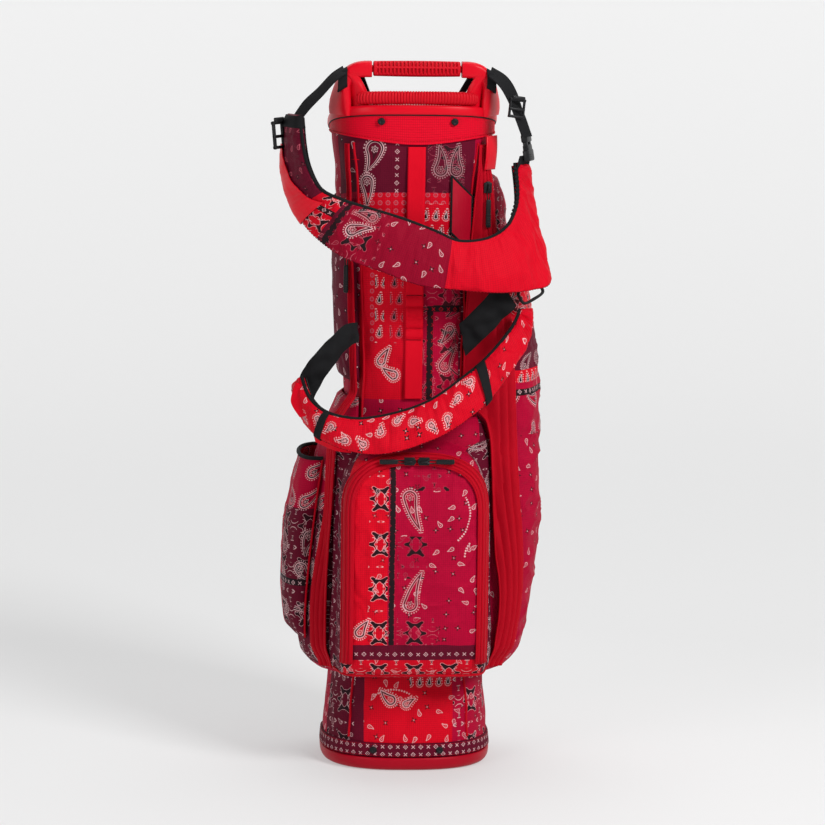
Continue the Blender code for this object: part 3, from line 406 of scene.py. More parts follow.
def settled(piece, held, cap, pressure, spare):
    """Cloth simulation: a skin held at its seams, with spare cloth, is filled and creases as it likes."""
    mesh, scene = piece.data, bpy.context.scene
    start = [vertex.co.copy() for vertex in mesh.vertices]
    group = piece.vertex_groups.new(name="held")
    group.add([index for index, place in enumerate(start) if held(place)], 1.0, "REPLACE")
    cloth = piece.modifiers.new("settle", "CLOTH")
    made = cloth.settings
    made.quality = 4
    made.mass = 0.15
    made.tension_stiffness = made.compression_stiffness = 12.0
    made.shear_stiffness = 4.0
    made.bending_stiffness = 0.1
    made.use_pressure = True
    made.uniform_pressure_force = pressure
    made.shrink_min = -spare
    made.vertex_group_mass = "held"
    made.effector_weights.gravity = 0.0
    cloth.collision_settings.use_collision = False
    cloth.point_cache.frame_start, cloth.point_cache.frame_end = 1, CLOTH_FRAMES
    for number in range(1, CLOTH_FRAMES + 1):
        scene.frame_set(number)
    found = piece.evaluated_get(bpy.context.evaluated_depsgraph_get())
    after = [vertex.co.copy() for vertex in found.to_mesh().vertices]
    found.to_mesh_clear()
    piece.modifiers.remove(cloth)
    piece.vertex_groups.clear()
    scene.frame_set(1)
    for vertex, before, place in zip(mesh.vertices, start, after):
        step = place - before
        if not step.length < 1.0:
            continue
        # a soft limit: small moves stay nearly whole, and none passes the cap
        vertex.co = before + step * (cap / (cap + step.length))
    return piece


def stitches(name, points, pitch, radius, fill=0.62):
    """A row of small raised stitches along a path."""
    runs = [0.0]
    for a, b in zip(points, points[1:]):
        runs.append(runs[-1] + (b - a).length)

    def at(distance):
        k = max(i for i in range(len(runs) - 1) if runs[i] <= distance)
        share = (distance - runs[k]) / max(runs[k + 1] - runs[k], 1e-9)
        return points[k].lerp(points[k + 1], share)

    bm = bmesh.new()
    bm.loops.layers.uv.new("UVMap")
    for k in range(int(runs[-1] / pitch)):
        start, end = at(k * pitch), at((k + fill) * pitch)
        along = end - start
        turn = Vector((0, 0, 1)).rotation_difference(along).to_matrix().to_4x4()
        bmesh.ops.create_cone(
            bm, cap_ends=True, segments=5, radius1=radius, radius2=radius, depth=along.length,
            matrix=Matrix.Translation((start + end) / 2) @ turn,
        )
    return into_scene(name, bm)


LEFT_PIPING, RIGHT_PIPING = math.radians(-134.0), math.radians(-46.0)


def body_surface(angle, z):
    """The tube of printed cloth: drawn in at its piped seams, slack in between."""
    seam = min(abs(math.remainder(angle - at, math.tau)) for at in (LEFT_PIPING, RIGHT_PIPING))
    drawn = 0.0014 * math.exp(-((seam / 0.09) ** 2))
    place = polar(angle, 0.09, z)
    slack = crumple(place, 0.06, 0.0034, 3.0) + crumple(place, 0.024, 0.0013, 9.0)
    free = smooth_step(0.02, 0.06, z) * (1.0 - smooth_step(0.745, 0.79, z))
    fold = math.exp(-(((z - 0.098 + 0.9 * abs(math.cos(angle)) ** 2 * 0.05) / 0.01) ** 2))
    front = max(0.0, -math.sin(angle)) ** 2
    hollow = (slack - 0.0004 - drawn) * free
    return body_radius(angle, z) + max(hollow, -0.0026) + 0.0022 * fold * front


def make_body():
    bottom = 0.018

    def place(u, v):
        angle = around(u)
        y = body_radius(angle, RIM_NEAR) * math.sin(angle)
        top = rim_plane(y) - BAND_HEIGHT - 0.002
        z = bottom + (top - bottom) * v
        return polar(angle, body_surface(angle, z), z)

    body = into_scene("body_cloth", woven(144, 200, place, seam=True, low=bottom))
    dressed(thicken(body, 0.001), "body_print", "body_shell")

    def lining(u, v):
        angle = around(u)
        z = 0.046 + 0.744 * v
        return polar(angle, body_radius(angle, z) - 0.0052, z)

    inside = into_scene("well_lining", woven(96, 60, lining, seam=True))
    dressed(thicken(inside, 0.0005), "black_lining")

    for label, angle in (("left", LEFT_PIPING), ("right", RIGHT_PIPING)):
        points = [polar(angle, body_surface(angle, z) + 0.0007, z) for z in even(0.04, 0.788, 60)]
        piping("body_piping_" + label, points, 0.0016, 180)


def cuff_low(angle):
    near, side, far = 0.7865, 0.7975, 0.762
    s = math.sin(angle)
    return side + (near - side) * s ** 4 if s < 0 else side + (far - side) * s * s


def rim_place(angle, offset, drop, sink=0.0):
    place = polar(angle, body_radius(angle, RIM_NEAR) + offset, 0.0)
    z = rim_plane(place.y) - drop
    return Vector((place.x, place.y, z + (0.766 - z) * sink))


def make_collar():
    section = (
        (-0.004, 0.03, 1.0), (-0.004, 0.0135, 0.05), (0.0, 0.0127, 0.0), (0.0036, 0.0126, 0.0),
        (0.0048, 0.0116, 0.0), (0.0053, 0.009, 0.0), (0.0051, 0.005, 0.0), (0.0044, 0.0022, 0.0),
        (0.0026, 0.0006, 0.0), (-0.001, 0.0, 0.0), (-0.005, 0.0001, 0.0), (-0.008, 0.0012, 0.0),
        (-0.0094, 0.004, 0.0), (-0.0097, 0.01, 0.0), (-0.0095, 0.03, 1.0),
    )

    def place(u, v):
        offset, drop, sink = on_curve((*section, section[0]), v)
        return rim_place(around(u), offset, drop, min(max(sink, 0.0), 1.0))

    bm = woven(128, 60, place, seam=True)
    dressed(into_scene("collar_moulding", bm, turn_out=True), "moulded", "collar")

    def cover(u, v):
        angle = around(u)
        top = rim_place(angle, 0.003, BAND_HEIGHT + 0.001)
        low = cuff_low(angle)
        z = low + (top.z - low) * v
        hem = 0.0011 * math.exp(-(((v - 0.02) / 0.05) ** 2)) + 0.0006 * math.exp(-(((v - 0.97) / 0.04) ** 2))
        soft = crumple(polar(angle, 0.1, z), 0.028, 0.0007, 5.0) * math.sin(math.pi * v)
        return polar(angle, body_radius(angle, z) + 0.0026 + hem + soft, z)

    cuff = into_scene("cuff_cloth", woven(160, 22, cover, seam=True))
    dressed(thicken(cuff, 0.0014), "cuff_ripstop", "cuff_cover")
    hem = [cover(u, 0.12) + polar(around(u), 0.0003, 0.0) for u in even(0.0, 1.0, 161)]
    dressed(stitches("cuff_hem_stitches", hem, 0.0036, 0.00035), "thread_red")
    # painted shadow: a thin black bar along the seam under the band stands in for the shade there
    seam = [rim_place(around(u), 0.0036, BAND_HEIGHT + 0.0006) for u in even(0.0, 1.0, 97)]
    painted_seam_shadow = into_scene("collar_seam_shadow_gasket", bar_along(seam, 0.0008, 6, 160, ends=False))
    dressed(painted_seam_shadow, "black_rubber", slot_name="black_plastic")


RIVETS = ("cuff_rivet_left", "cuff_rivet_right", "base_rivet_left", "base_rivet_right")


def make_rivets():
    """Pressed black rivets: a domed head with a dished middle."""
    dome = (
        (0.0, 0.0011), (0.001, 0.0011), (0.0016, 0.0016), (0.0026, 0.002), (0.0036, 0.0017), (0.0043, 0.001),
        (0.0046, 0.0), (0.0, -0.0006),
    )
    for node in RIVETS:
        low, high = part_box(node)
        middle = (Vector(low) + Vector(high)) / 2
        out = Vector((middle.x * 0.35, middle.y, 0.0)).normalized()
        across, along, normal = squared((-out.y, out.x, 0.0), (0, 0, 1))
        seat = middle + out * 0.0004
        bm = moved(turned(dome, 24), axes_at(seat, across, along, normal))
        dressed(into_scene(node.replace("rivet", "rivet_head"), bm, turn_out=True), "black_moulded", node)


# ================================================================ handle and grips
SIDES = (("left", -1), ("right", 1))
BAR_Y, BAR_Z = -0.075, 0.8785
GRIP_HALF = 0.0535


def oblong(angle, half_a, half_b, square):
    radius = (abs(math.cos(angle)) ** square + abs(math.sin(angle)) ** square) ** (-1.0 / square)
    return half_a * radius * math.cos(angle), half_b * radius * math.sin(angle)


# place, way along, way of its depth, half depth, half height, squareness: from the bar out and down a post
POST = (
    ((0.05, 0.0, 0.0), (1, 0, 0.0), (0.0, 1, 0), 0.0045, 0.0045, 2.4),
    ((0.055, 0.0, -0.0002), (1, 0, 0.0), (0.0, 1, 0), 0.0045, 0.0045, 2.4),
    ((0.0556, 0.0, -0.0004), (1, 0, 0.0), (0.0, 1, 0), 0.0098, 0.009, 4.0),
    ((0.0564, 0.0, -0.0006), (1, 0, -0.02), (0.0, 1, 0), 0.011, 0.01, 5.0),
    ((0.064, 0.0, -0.0008), (1, 0, -0.05), (0.0, 1, 0), 0.0114, 0.01, 5.0),
    ((0.072, 0.0, -0.0016), (1, 0, -0.18), (0.0, 1, 0), 0.0116, 0.0096, 4.5),
    ((0.08, 0.001, -0.0046), (1, 0, -0.6), (0.04, 1, 0), 0.0118, 0.0088, 4.0),
    ((0.0858, 0.003, -0.0105), (1, 0, -1.5), (0.12, 1, 0), 0.0132, 0.008, 3.6),
    ((0.09, 0.006, -0.019), (1, 0, -2.6), (0.22, 1, 0), 0.016, 0.0076, 3.4),
    ((0.0918, 0.01, -0.029), (1, 0, -4.0), (0.32, 1, 0), 0.02, 0.0076, 3.2),
    ((0.0928, 0.013, -0.04), (1, 0, -7.0), (0.4, 1, 0), 0.0232, 0.0078, 3.0),
    ((0.0934, 0.015, -0.05), (1, 0, -12.0), (0.42, 1, 0), 0.025, 0.007, 3.0),
    ((0.0936, 0.016, -0.058), (1, 0, -20.0), (0.42, 1, 0), 0.0252, 0.005, 3.0),
)


def post_place(side):
    def place(u, v):
        last = len(POST) - 1
        s = v * last
        i = min(int(s), last - 1)
        share = s - i
        one, two = POST[i], POST[i + 1]
        middle = on_curve([row[0] for row in POST], v)
        along = Vector(one[1]).lerp(Vector(two[1]), share)
        deep = Vector(one[2]).lerp(Vector(two[2]), share).normalized()
        up = deep.cross(along).normalized()
        sizes = [one[k] + (two[k] - one[k]) * share for k in (3, 4, 5)]
        a, b = oblong(math.tau * u, *sizes)
        spot = middle + deep * a + up * b
        return Vector((side * spot.x, spot.y + BAR_Y, spot.z + BAR_Z))

    return place


def make_handle():
    parts = []
    for side in (-1, 1):
        parts.append(facing_out(close_ends(woven(40, 96, post_place(side), seam=True))))
    for side in (-1, 1):
        def shoulder(u, v):
            """Broad flare from the collar's corner up into the post."""
            a, b = oblong(math.tau * u, 1.0, 1.0, 4.0)
            angle = math.radians(-37.5) + math.radians(17.0) * a
            foot = polar(angle, body_radius(angle, RIM_NEAR) - 0.0066 + 0.0052 * b, 0.0)
            head = Vector((0.0815 + 0.0105 * b, -0.075 + 0.0115 * a, 0.0))
            spot = foot.lerp(head, v ** 2.6)
            low = rim_plane(foot.y) - 0.006
            return Vector((side * spot.x, spot.y, low + (0.872 - low) * v))

        parts.append(facing_out(close_ends(woven(48, 24, shoulder, seam=True))))
    core = [Vector((x, BAR_Y, BAR_Z)) for x in (-0.054, -0.02, 0.02, 0.054)]
    parts.append(facing_out(bar_along(core, 0.0044, 12, 12)))
    dressed(into_scene("handle_moulding", joined(*parts), smooth=50.0), "moulded", "top_handle")

    ribs, half = 23, GRIP_HALF

    def grip(u, v):
        """A squarish sleeve with two rows of slots sunk in its front and top."""
        angle = math.tau * u
        x = -half + 2 * half * v
        end = min(1.0, min(v, 1.0 - v) / 0.012)
        crown = 0.0006 * math.sin(math.pi * v)
        a, b = oblong(angle, 0.0095 + crown, 0.0092 + crown, 3.0)
        wave = 0.5 + 0.5 * math.cos(math.tau * ribs * v)
        slot = smooth_step(0.42, 0.62, wave) * smooth_step(0.03, 0.05, min(v, 1.0 - v))
        front = max(0.0, -math.cos(angle))
        upper = smooth_step(0.3, 0.42, math.sin(angle)) * (1.0 - smooth_step(0.86, 0.95, math.sin(angle)))
        lower = smooth_step(-0.62, -0.5, math.sin(angle)) * (1.0 - smooth_step(0.02, 0.12, math.sin(angle)))
        behind = max(0.0, math.cos(angle))
        share = min(1.0, 1.6 * front) * max(upper, lower) + 0.6 * smooth_step(0.3, 0.6, behind)
        depth = 0.0022 * slot * share
        shrink = (0.86 + 0.14 * math.sqrt(max(0.0, 1.0 - (1.0 - end) ** 2))) * (1.0 - depth / 0.0095)
        return Vector((x, BAR_Y + a * shrink, BAR_Z + b * shrink))

    bm = close_ends(woven(56, ribs * 12, grip, seam=True))
    dressed(into_scene("handle_ribbed_grip", bm, turn_out=True), "soft_grip", "handle_grip")

    rim_ribs, reach = 42, math.radians(42.5)

    def rim(u, v):
        """The second grip: a row of rounded ribs along the near rim."""
        share = 2.0 * v - 1.0
        angle = -math.pi / 2 + reach * share
        ends = math.sqrt(max(0.0, 1.0 - abs(share) ** 14))
        rib = abs(math.sin(math.pi * rim_ribs * v)) ** 0.6
        a, b = oblong(math.tau * u, 0.0088, 0.0084, 2.6)
        swell = (0.86 + 0.14 * rib) * (0.55 + 0.45 * ends)
        middle = body_radius(angle, RIM_NEAR) - 0.0022
        place = polar(angle, middle + a * swell, 0.0)
        return Vector((place.x, place.y, rim_plane(place.y) + 0.0086 + b * swell))

    bm = close_ends(woven(28, rim_ribs * 8, rim, seam=True))
    dressed(into_scene("rim_ribbed_grip", bm, turn_out=True), "soft_grip", "rim_grip")

    for label, side in SIDES:
        top = Vector((side * 0.07, BAR_Y + 0.004, BAR_Z - 0.006))
        low = Vector((side * 0.056, BAR_Y + 0.045, 0.84))
        across = Vector((1, 0, 0)) * 0.004
        edges = [[top - across, low - across], [top + across, low + across]]

        def strip(u, v):
            return edges[0][0].lerp(edges[0][1], v).lerp(edges[1][0].lerp(edges[1][1], v), u)

        brace = into_scene("handle_brace_" + label, woven(4, 10, strip))
        dressed(thicken(brace, 0.0022, 0.0), "black_web")


def make_divider():
    """Padded cross at the mouth: two soft bars with rounded edges."""
    low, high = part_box("top_divider")
    z = (low[2] + high[2]) / 2
    parts = []
    for reach, turn in ((high[0], 0.0), (high[1], math.pi / 2)):
        def arm(u, v):
            a, b = oblong(math.tau * u, 0.0062, 0.0085, 3.0)
            x = (2.0 * v - 1.0) * (reach - 0.0004)
            soft = 1.0 + 0.05 * noise.noise(Vector((x * 60.0, turn, u * 3.0)))
            return Matrix.Rotation(turn, 3, "Z") @ Vector((x, a * soft, z + b * soft))

        parts.append(facing_out(close_ends(woven(24, 80, arm, seam=True))))
    dressed(into_scene("divider_cross", joined(*parts)), "black_lining", "top_divider")


# ================================================================ pockets
RIGHT_BULGE = (
    (0.118, 0.012), (0.13, 0.03), (0.148, 0.044), (0.18, 0.054), (0.226, 0.063), (0.303, 0.073),
    (0.36, 0.076), (0.42, 0.077), (0.48, 0.075), (0.54, 0.067), (0.584, 0.058), (0.626, 0.044),
    (0.666, 0.029), (0.715, 0.018), (0.745, 0.008),
)
LEFT_BULGE = (
    (0.118, 0.01), (0.13, 0.026), (0.148, 0.038), (0.187, 0.043), (0.24, 0.042), (0.303, 0.037),
    (0.345, 0.033), (0.37, 0.03), (0.4, 0.026), (0.43, 0.018), (0.455, 0.008), (0.468, 0.003),
)
VALUABLES_BULGE = (
    (0.488, 0.002), (0.5, 0.006), (0.56, 0.008), (0.64, 0.007), (0.7, 0.006), (0.715, 0.002),
)
# height, front of the ball pocket, its half width, front of the panel behind it, that panel's half width
BALL = (
    (0.122, 0.108, 0.08, 0.108, 0.09),
    (0.132, 0.146, 0.091, 0.122, 0.102),
    (0.15, 0.162, 0.094, 0.127, 0.105),
    (0.2, 0.17, 0.094, 0.128, 0.105),
    (0.3, 0.171, 0.093, 0.127, 0.104),
    (0.36, 0.168, 0.091, 0.126, 0.103),
    (0.387, 0.164, 0.084, 0.125, 0.102),
    (0.403, 0.158, 0.073, 0.124, 0.101),
    (0.414, 0.146, 0.058, 0.122, 0.1),
    (0.423, 0.122, 0.04, 0.119, 0.098),
    (0.438, 0.108, 0.03, 0.111, 0.094),
    (0.448, 0.098, 0.03, 0.1, 0.089),
)
BALL_TOP = 0.448
BALL_HALF_ANGLE = math.radians(45.5)
SIDE_FRONT, SIDE_BACK = math.radians(-43.0), math.radians(56.0)
POUCH_OUTSIDE = (
    (0.164, 0.046), (0.176, 0.056), (0.2, 0.0615), (0.24, 0.0645), (0.303, 0.065), (0.345, 0.059),
    (0.367, 0.0555), (0.39, 0.05),
)
POUCH_START, POUCH_END = math.radians(-26.0), math.radians(34.0)


def swell(t):
    return math.sqrt(max(0.0, 1.0 - abs(2.0 * t - 1.0) ** 6))


def side_radius(angle, z, bulge):
    """Outer surface of the pocket on the right flank; the left one is its mirror image."""
    t = (angle - SIDE_FRONT) / (SIDE_BACK - SIDE_FRONT)
    return body_radius(angle, z) + 0.0042 + hermite(bulge, z) * swell(min(max(t, 0.0), 1.0))


def ball_radius(angle, z):
    """Outer surface of the ball pocket and the panel behind it."""
    pocket = superellipse(angle, hermite(BALL, z, 2), hermite(BALL, z, 1), 10.0)
    panel = superellipse(angle, hermite(BALL, z, 4), hermite(BALL, z, 3), 5.0)
    return max(pocket, panel, body_radius(angle, z) + 0.0042)


def slack(place, sag, seed):
    """Loose cloth over a filled pocket: broad dents, folds that run down and fine puckers."""
    x, y, z = place
    broad = noise.noise(Vector((x * 11.0, y * 11.0, z * 9.0 + seed)))
    folds = noise.noise(Vector((x * 34.0 + z * 9.0, y * 34.0, z * 7.0 + seed * 2.0)))
    ridge = 1.0 - abs(noise.noise(Vector((x * 22.0, y * 22.0, z * 30.0 - seed))))
    fine = noise.noise(Vector((x * 85.0, y * 85.0, z * 70.0 + seed)))
    return sag * (0.62 * broad + 0.4 * folds + 0.55 * ridge ** 6 - 0.25 + 0.1 * fine)


def edge_fade(u, v, width_u=0.03, width_v=0.03):
    return smooth_step(0.0, width_u, min(u, 1.0 - u)) * smooth_step(0.0, width_v, min(v, 1.0 - v))


def make_side_pocket(node, bulge, sign, finish, sag, seed):
    low, high = bulge[0][0], bulge[-1][0]

    def place(u, v):
        # columns closer together near both edges
        share = (0.5 - 0.5 * math.cos(math.pi * (0.9 * u + 0.05))) / 0.98769
        angle = min(max(SIDE_FRONT + (SIDE_BACK - SIDE_FRONT) * share - 0.0107, SIDE_FRONT), SIDE_BACK)
        z = low + (high - low) * v
        tuck = edge_fade(u, v, 0.012, 0.01)
        outer = side_radius(angle, z, bulge)
        inner = body_radius(angle, z) + 0.0012
        spot = polar(angle, outer, z)
        loose = slack(spot, sag, seed) * edge_fade(u, v, 0.16, 0.1)
        radius = inner + (outer - inner) * (0.25 + 0.75 * tuck) + loose
        return Vector((sign * radius * math.cos(angle), radius * math.sin(angle), z))

    rows = max(24, round((high - low) / 0.005))
    piece = into_scene(node + "_cloth", woven(72, rows, place, low=low - 0.008))
    if sign < 0:
        piece.data.flip_normals()
    else:
        settled(piece, near_points(border_of(piece), 0.022), 0.006, 0.8, 0.02)
    dressed(thicken(piece, 0.001), finish, node)


def make_pockets():
    make_side_pocket("side_pocket_right", RIGHT_BULGE, 1, "flank_print", 0.0062, 4.0)
    make_side_pocket("side_pocket_left", LEFT_BULGE, -1, "left_print", 0.0042, 11.0)
    make_side_pocket("valuables_pocket", VALUABLES_BULGE, -1, "burgundy_cloth", 0.0016, 17.0)

    def ball(u, v):
        z = BALL[0][0] + (BALL_TOP - BALL[0][0]) * v
        half = BALL_HALF_ANGLE + math.radians(5.0) * (1.0 - smooth_step(0.17, 0.24, z))
        angle = -math.pi / 2 + half * (2.0 * u - 1.0)
        outer = sum(ball_radius(angle + turn, z) for turn in (-0.012, 0.0, 0.012)) / 3.0
        spot = polar(angle, outer, z)
        loose = slack(spot, 0.0034, 23.0) * edge_fade(u, v, 0.1, 0.06)
        return polar(angle, outer - 0.0004 + loose, z)

    front = into_scene("ball_pocket_cloth", woven(160, 120, ball, low=BALL[0][0] - 0.018))

    def outside_arch(spot):
        above = max(0.0, (spot.z - 0.335) / 0.062)
        return spot.z < 0.166 or (abs(spot.x) / 0.074) ** 2.8 + above ** 2.8 > 1.0

    settled(front, outside_arch, 0.006, 0.8, 0.02)
    dressed(thicken(front, 0.001), "ball_print", "ball_pocket")

    def pouch_back(angle, z):
        return side_radius(angle, z, LEFT_BULGE) + 0.001

    def pouch(u, v):
        angle = POUCH_START + (POUCH_END - POUCH_START) * u
        z = 0.164 + (0.39 - 0.164) * v
        edge = pouch_back(angle, z) + 0.0025
        out = edge + max(0.0, side_radius(angle, z, POUCH_OUTSIDE) - edge) * swell(u)
        spot = polar(angle, out, z)
        loose = slack(spot, 0.0022, 31.0) * edge_fade(u, v, 0.12, 0.04)
        return Vector((-(out + loose) * math.cos(angle), out * math.sin(angle), z))

    piece = into_scene("bottle_pouch_cloth", woven(48, 60, pouch, low=0.164))
    piece.data.flip_normals()
    dressed(thicken(piece, 0.002), "left_print", "bottle_pouch")
    rim = [pouch(u, 1.0) for u in even(0.0, 1.0, 25)]
    piping("pouch_elastic_edge", rim, 0.0026, 96, "black_web", 10)
    for label, at in (("front", 0.0), ("back", 1.0)):
        edge = [pouch(at, v) + Vector((-0.0006, 0, 0)) for v in even(0.0, 1.0, 20)]
        piping("pouch_piping_" + label, edge, 0.0014, 60)

    for name, height, half in (("low", 0.133, 0.096), ("top", 0.436, 0.03)):
        points = [Vector((x, -front_of_ball(x, height) - 0.0006, height)) for x in even(-half, half, 25)]
        piping("ball_pocket_piping_" + name, points, 0.0015, 80)


# ================================================================ zips
ZIP_TOP, ZIP_BOTTOM = 0.786, 0.13
ZIP_INNER, ZIP_OUTER = SIDE_FRONT - math.radians(4.0), SIDE_FRONT + math.radians(6.5)
ZIP_BULGES = {"right": (RIGHT_BULGE,), "left": (LEFT_BULGE, VALUABLES_BULGE)}
ZIP_SIDES = (("right", 1.0), ("left", -1.0))


def flank(angle, z, bulges):
    radius = body_radius(angle, z) + 0.001
    if z <= BALL_TOP:
        radius = max(radius, ball_radius(angle, z))
    for bulge in bulges:
        if angle >= SIDE_FRONT and bulge[0][0] <= z <= bulge[-1][0]:
            radius = max(radius, side_radius(angle, z, bulge))
    return radius


def zip_point(label, across, along, lift=0.0):
    """A point of a long zip, as if on the right flank, just clear of every surface that it runs over."""
    z = ZIP_BOTTOM + (ZIP_TOP - ZIP_BOTTOM) * along
    sway = math.radians(6.5) * math.exp(-(((z - 0.2) / 0.12) ** 2))
    if label == "left":
        narrow = 1.0 - 0.58 * smooth_step(0.43, 0.49, z) - 0.14 * smooth_step(0.66, 0.7, z)
    else:
        narrow = 1.0 - 0.2 * smooth_step(0.64, 0.7, z)
    angle = ZIP_INNER + (ZIP_OUTER - ZIP_INNER) * (0.5 + (across - 0.5) * narrow) + sway
    near = [
        flank(angle + math.radians(turn), min(max(z + rise, ZIP_BOTTOM), ZIP_TOP), ZIP_BULGES[label])
        for turn in (-2.8, 0.0, 2.8)
        for rise in (-0.014, 0.0, 0.014)
    ]
    return polar(angle, max(near) + 0.0012 + lift, z)


def arch_point(s, out):
    """A point of the ball pocket's zip: s runs from -1, low at the left, to 1, low at the right."""
    half, low, spring, top = 0.082, 0.15, 0.335, 0.404
    straight = (spring - low) / ((spring - low) + 0.25 * math.pi * (half + top - spring))
    t = 1.0 - abs(s)
    if t < straight:
        return math.copysign(half + out, s), low + (spring - low) * t / straight
    turn = (t - straight) / (1.0 - straight) * math.pi / 2
    x = (half + out) * math.cos(turn) ** 0.72
    return math.copysign(x, s), spring + (top - spring + out) * math.sin(turn) ** 0.72


def front_of_ball(x, z):
    near, far = 0.0, 0.2
    for step in range(20):
        middle = (near + far) / 2
        if math.hypot(x, middle) < ball_radius(math.atan2(-middle, x), z):
            near = middle
        else:
            far = middle
    return near


def ridges(u, count):
    """Height of the corded ridges across a zip's tape."""
    return abs(math.sin(math.pi * count * u)) ** 0.7


def make_zips():
    steps = 120
    for label, sign in ZIP_SIDES:
        table = [[zip_point(label, u, v) for u in even(0.0, 1.0, 7)] for v in even(0.0, 1.0, steps + 1)]
        smooth = []
        for j in range(steps + 1):
            rows = table[max(j - 2, 0):j + 3]
            smooth.append([sum((row[i] for row in rows), Vector()) / len(rows) for i in range(7)])

        def tape(u, v):
            j = min(int(v * steps), steps - 1)
            share = v * steps - j
            spot = on_curve(smooth[j], u).lerp(on_curve(smooth[j + 1], u), share)
            out = Vector((spot.x, spot.y, 0.0)).normalized()
            tuck = 0.009 * (1.0 - smooth_step(0.0, 0.045, v))
            spot += out * (0.0004 + 0.0026 * ridges(u, 4) + crumple(spot, 0.02, 0.0005) - tuck)
            return Vector((sign * spot.x, spot.y, ZIP_BOTTOM + (ZIP_TOP - ZIP_BOTTOM) * v))

        piece = into_scene("side_zip_tape_" + label, woven(40, 260, tape, low=ZIP_BOTTOM), smooth=70.0)
        if sign < 0:
            piece.data.flip_normals()
        dressed(thicken(piece, 0.0012), "zip_tape", "side_zip_" + label)
        for name, at in (("inner", 0.02), ("outer", 0.98)):
            edge = [tape(at, v) for v in even(0.0, 1.0, 80)]
            piping(f"side_zip_{name}_piping_{label}", edge, 0.0012, 240)

    def arch(u, v):
        x, z = arch_point(2.0 * v - 1.0, 0.011 * (u - 0.5) + 0.0015)
        return Vector((x, -front_of_ball(x, z) - 0.003 - 0.0016 * ridges(u, 3), z))

    piece = into_scene("ball_zip_tape", woven(24, 150, arch), smooth=70.0)
    dressed(thicken(piece, 0.0012, 0.0), "zip_tape", "ball_pocket_zip")
    for label, out in (("inner", -0.0048), ("outer", 0.008)):
        edge = [arch_point(s, out) for s in even(-1.0, 1.0, 61)]
        edge = [Vector((x, -front_of_ball(x, z) - 0.0026, z)) for x, z in edge]
        piping("ball_zip_piping_" + label, edge, 0.0013, 200)


def slider_shape():
    """A zip slider: a waisted plate with a nose, and a raised bridge that its pull hangs from."""
    plate = block((-0.005, -0.0066, -0.0002), (0.005, 0.0066, 0.0026), 0.001, 3)
    nose = block((-0.003, 0.005, 0.0), (0.003, 0.0078, 0.0024), 0.0009, 3)
    arch = ((-0.0052, 0.0022), (-0.0048, 0.0046), (-0.0018, 0.0056), (0.0022, 0.0054), (0.005, 0.0022))
    return joined(plate, nose, bar_along([Vector((0.0, y, z)) for y, z in arch], 0.0011, 8, 18))


def pull_shape(length):
    """A cord loop from the bridge, gathered into a long moulded tip with grip bars."""
    loop = [
        (-0.0012, -0.012, 0.001), (-0.0019, -0.006, 0.001), (-0.0013, -0.0012, 0.0018), (0.0, 0.0, 0.0022),
        (0.0013, -0.0012, 0.0018), (0.0019, -0.006, 0.001), (0.0012, -0.012, 0.001),
    ]
    cord = bar_along([Vector(p) for p in loop], 0.0008, 8, 40)
    tip = block((-0.003, -length, -0.0003), (0.003, -0.0115, 0.003), 0.0012, 3)
    starts = [0.003 * (k + 1) - length for k in range(5)]
    bars = [block((-0.0033, y, -0.0005), (0.0033, y + 0.0014, 0.0033), 0.0005, 2) for y in starts]
    return joined(cord, tip, *bars)


def put_slider(kind, label, body, pull_body, seat, normal, along, length):
    """A slider and its pull, each on its own body, seated on a zip."""
    across = along.cross(normal)
    bm = moved(slider_shape(), axes_at(seat, across, along, normal))
    slider = into_scene(f"{kind}_slider_body_{label}", bm, body, turn_out=True)
    dressed(slider, "black_moulded", f"{kind}_slider_{label}")
    hang = seat + normal * 0.0034 - along * 0.003
    bm = moved(pull_shape(length), axes_at(hang, across, along, normal))
    pull = into_scene(f"{kind}_pull_tab_{label}", bm, pull_body, turn_out=True)
    dressed(pull, "black_moulded", f"{kind}_pull_{label}")


def make_sliders():
    for (label, sign), z in zip(ZIP_SIDES, (0.733, 0.65)):
        along = (z - ZIP_BOTTOM) / (ZIP_TOP - ZIP_BOTTOM)
        start, middle, end = (zip_point(label, t, along, 0.0016) for t in (0.0, 0.5, 1.0))
        across = Vector((sign * (end - start).x, (end - start).y, 0.0)).normalized()
        normal = Vector((across.y, -across.x, 0.0)) * sign
        seat = Vector((sign * middle.x, middle.y, z)) + normal * 0.0012
        put_slider("side_zip", label, f"{label}_zip_slider", f"{label}_zip_pull", seat, normal,
                   Vector((0, 0, 1)), 0.046)
    z = arch_point(0.0, 0.0)[1]
    for label, side in SIDES:
        seat = Vector((side * 0.009, -front_of_ball(side * 0.009, z - 0.004) - 0.006, z))
        put_slider("ball_zip", label, f"ball_slider_{label}", f"ball_pull_{label}", seat, Vector((0, -1, 0)),
                   Vector((-side, 0, 0)), 0.034)


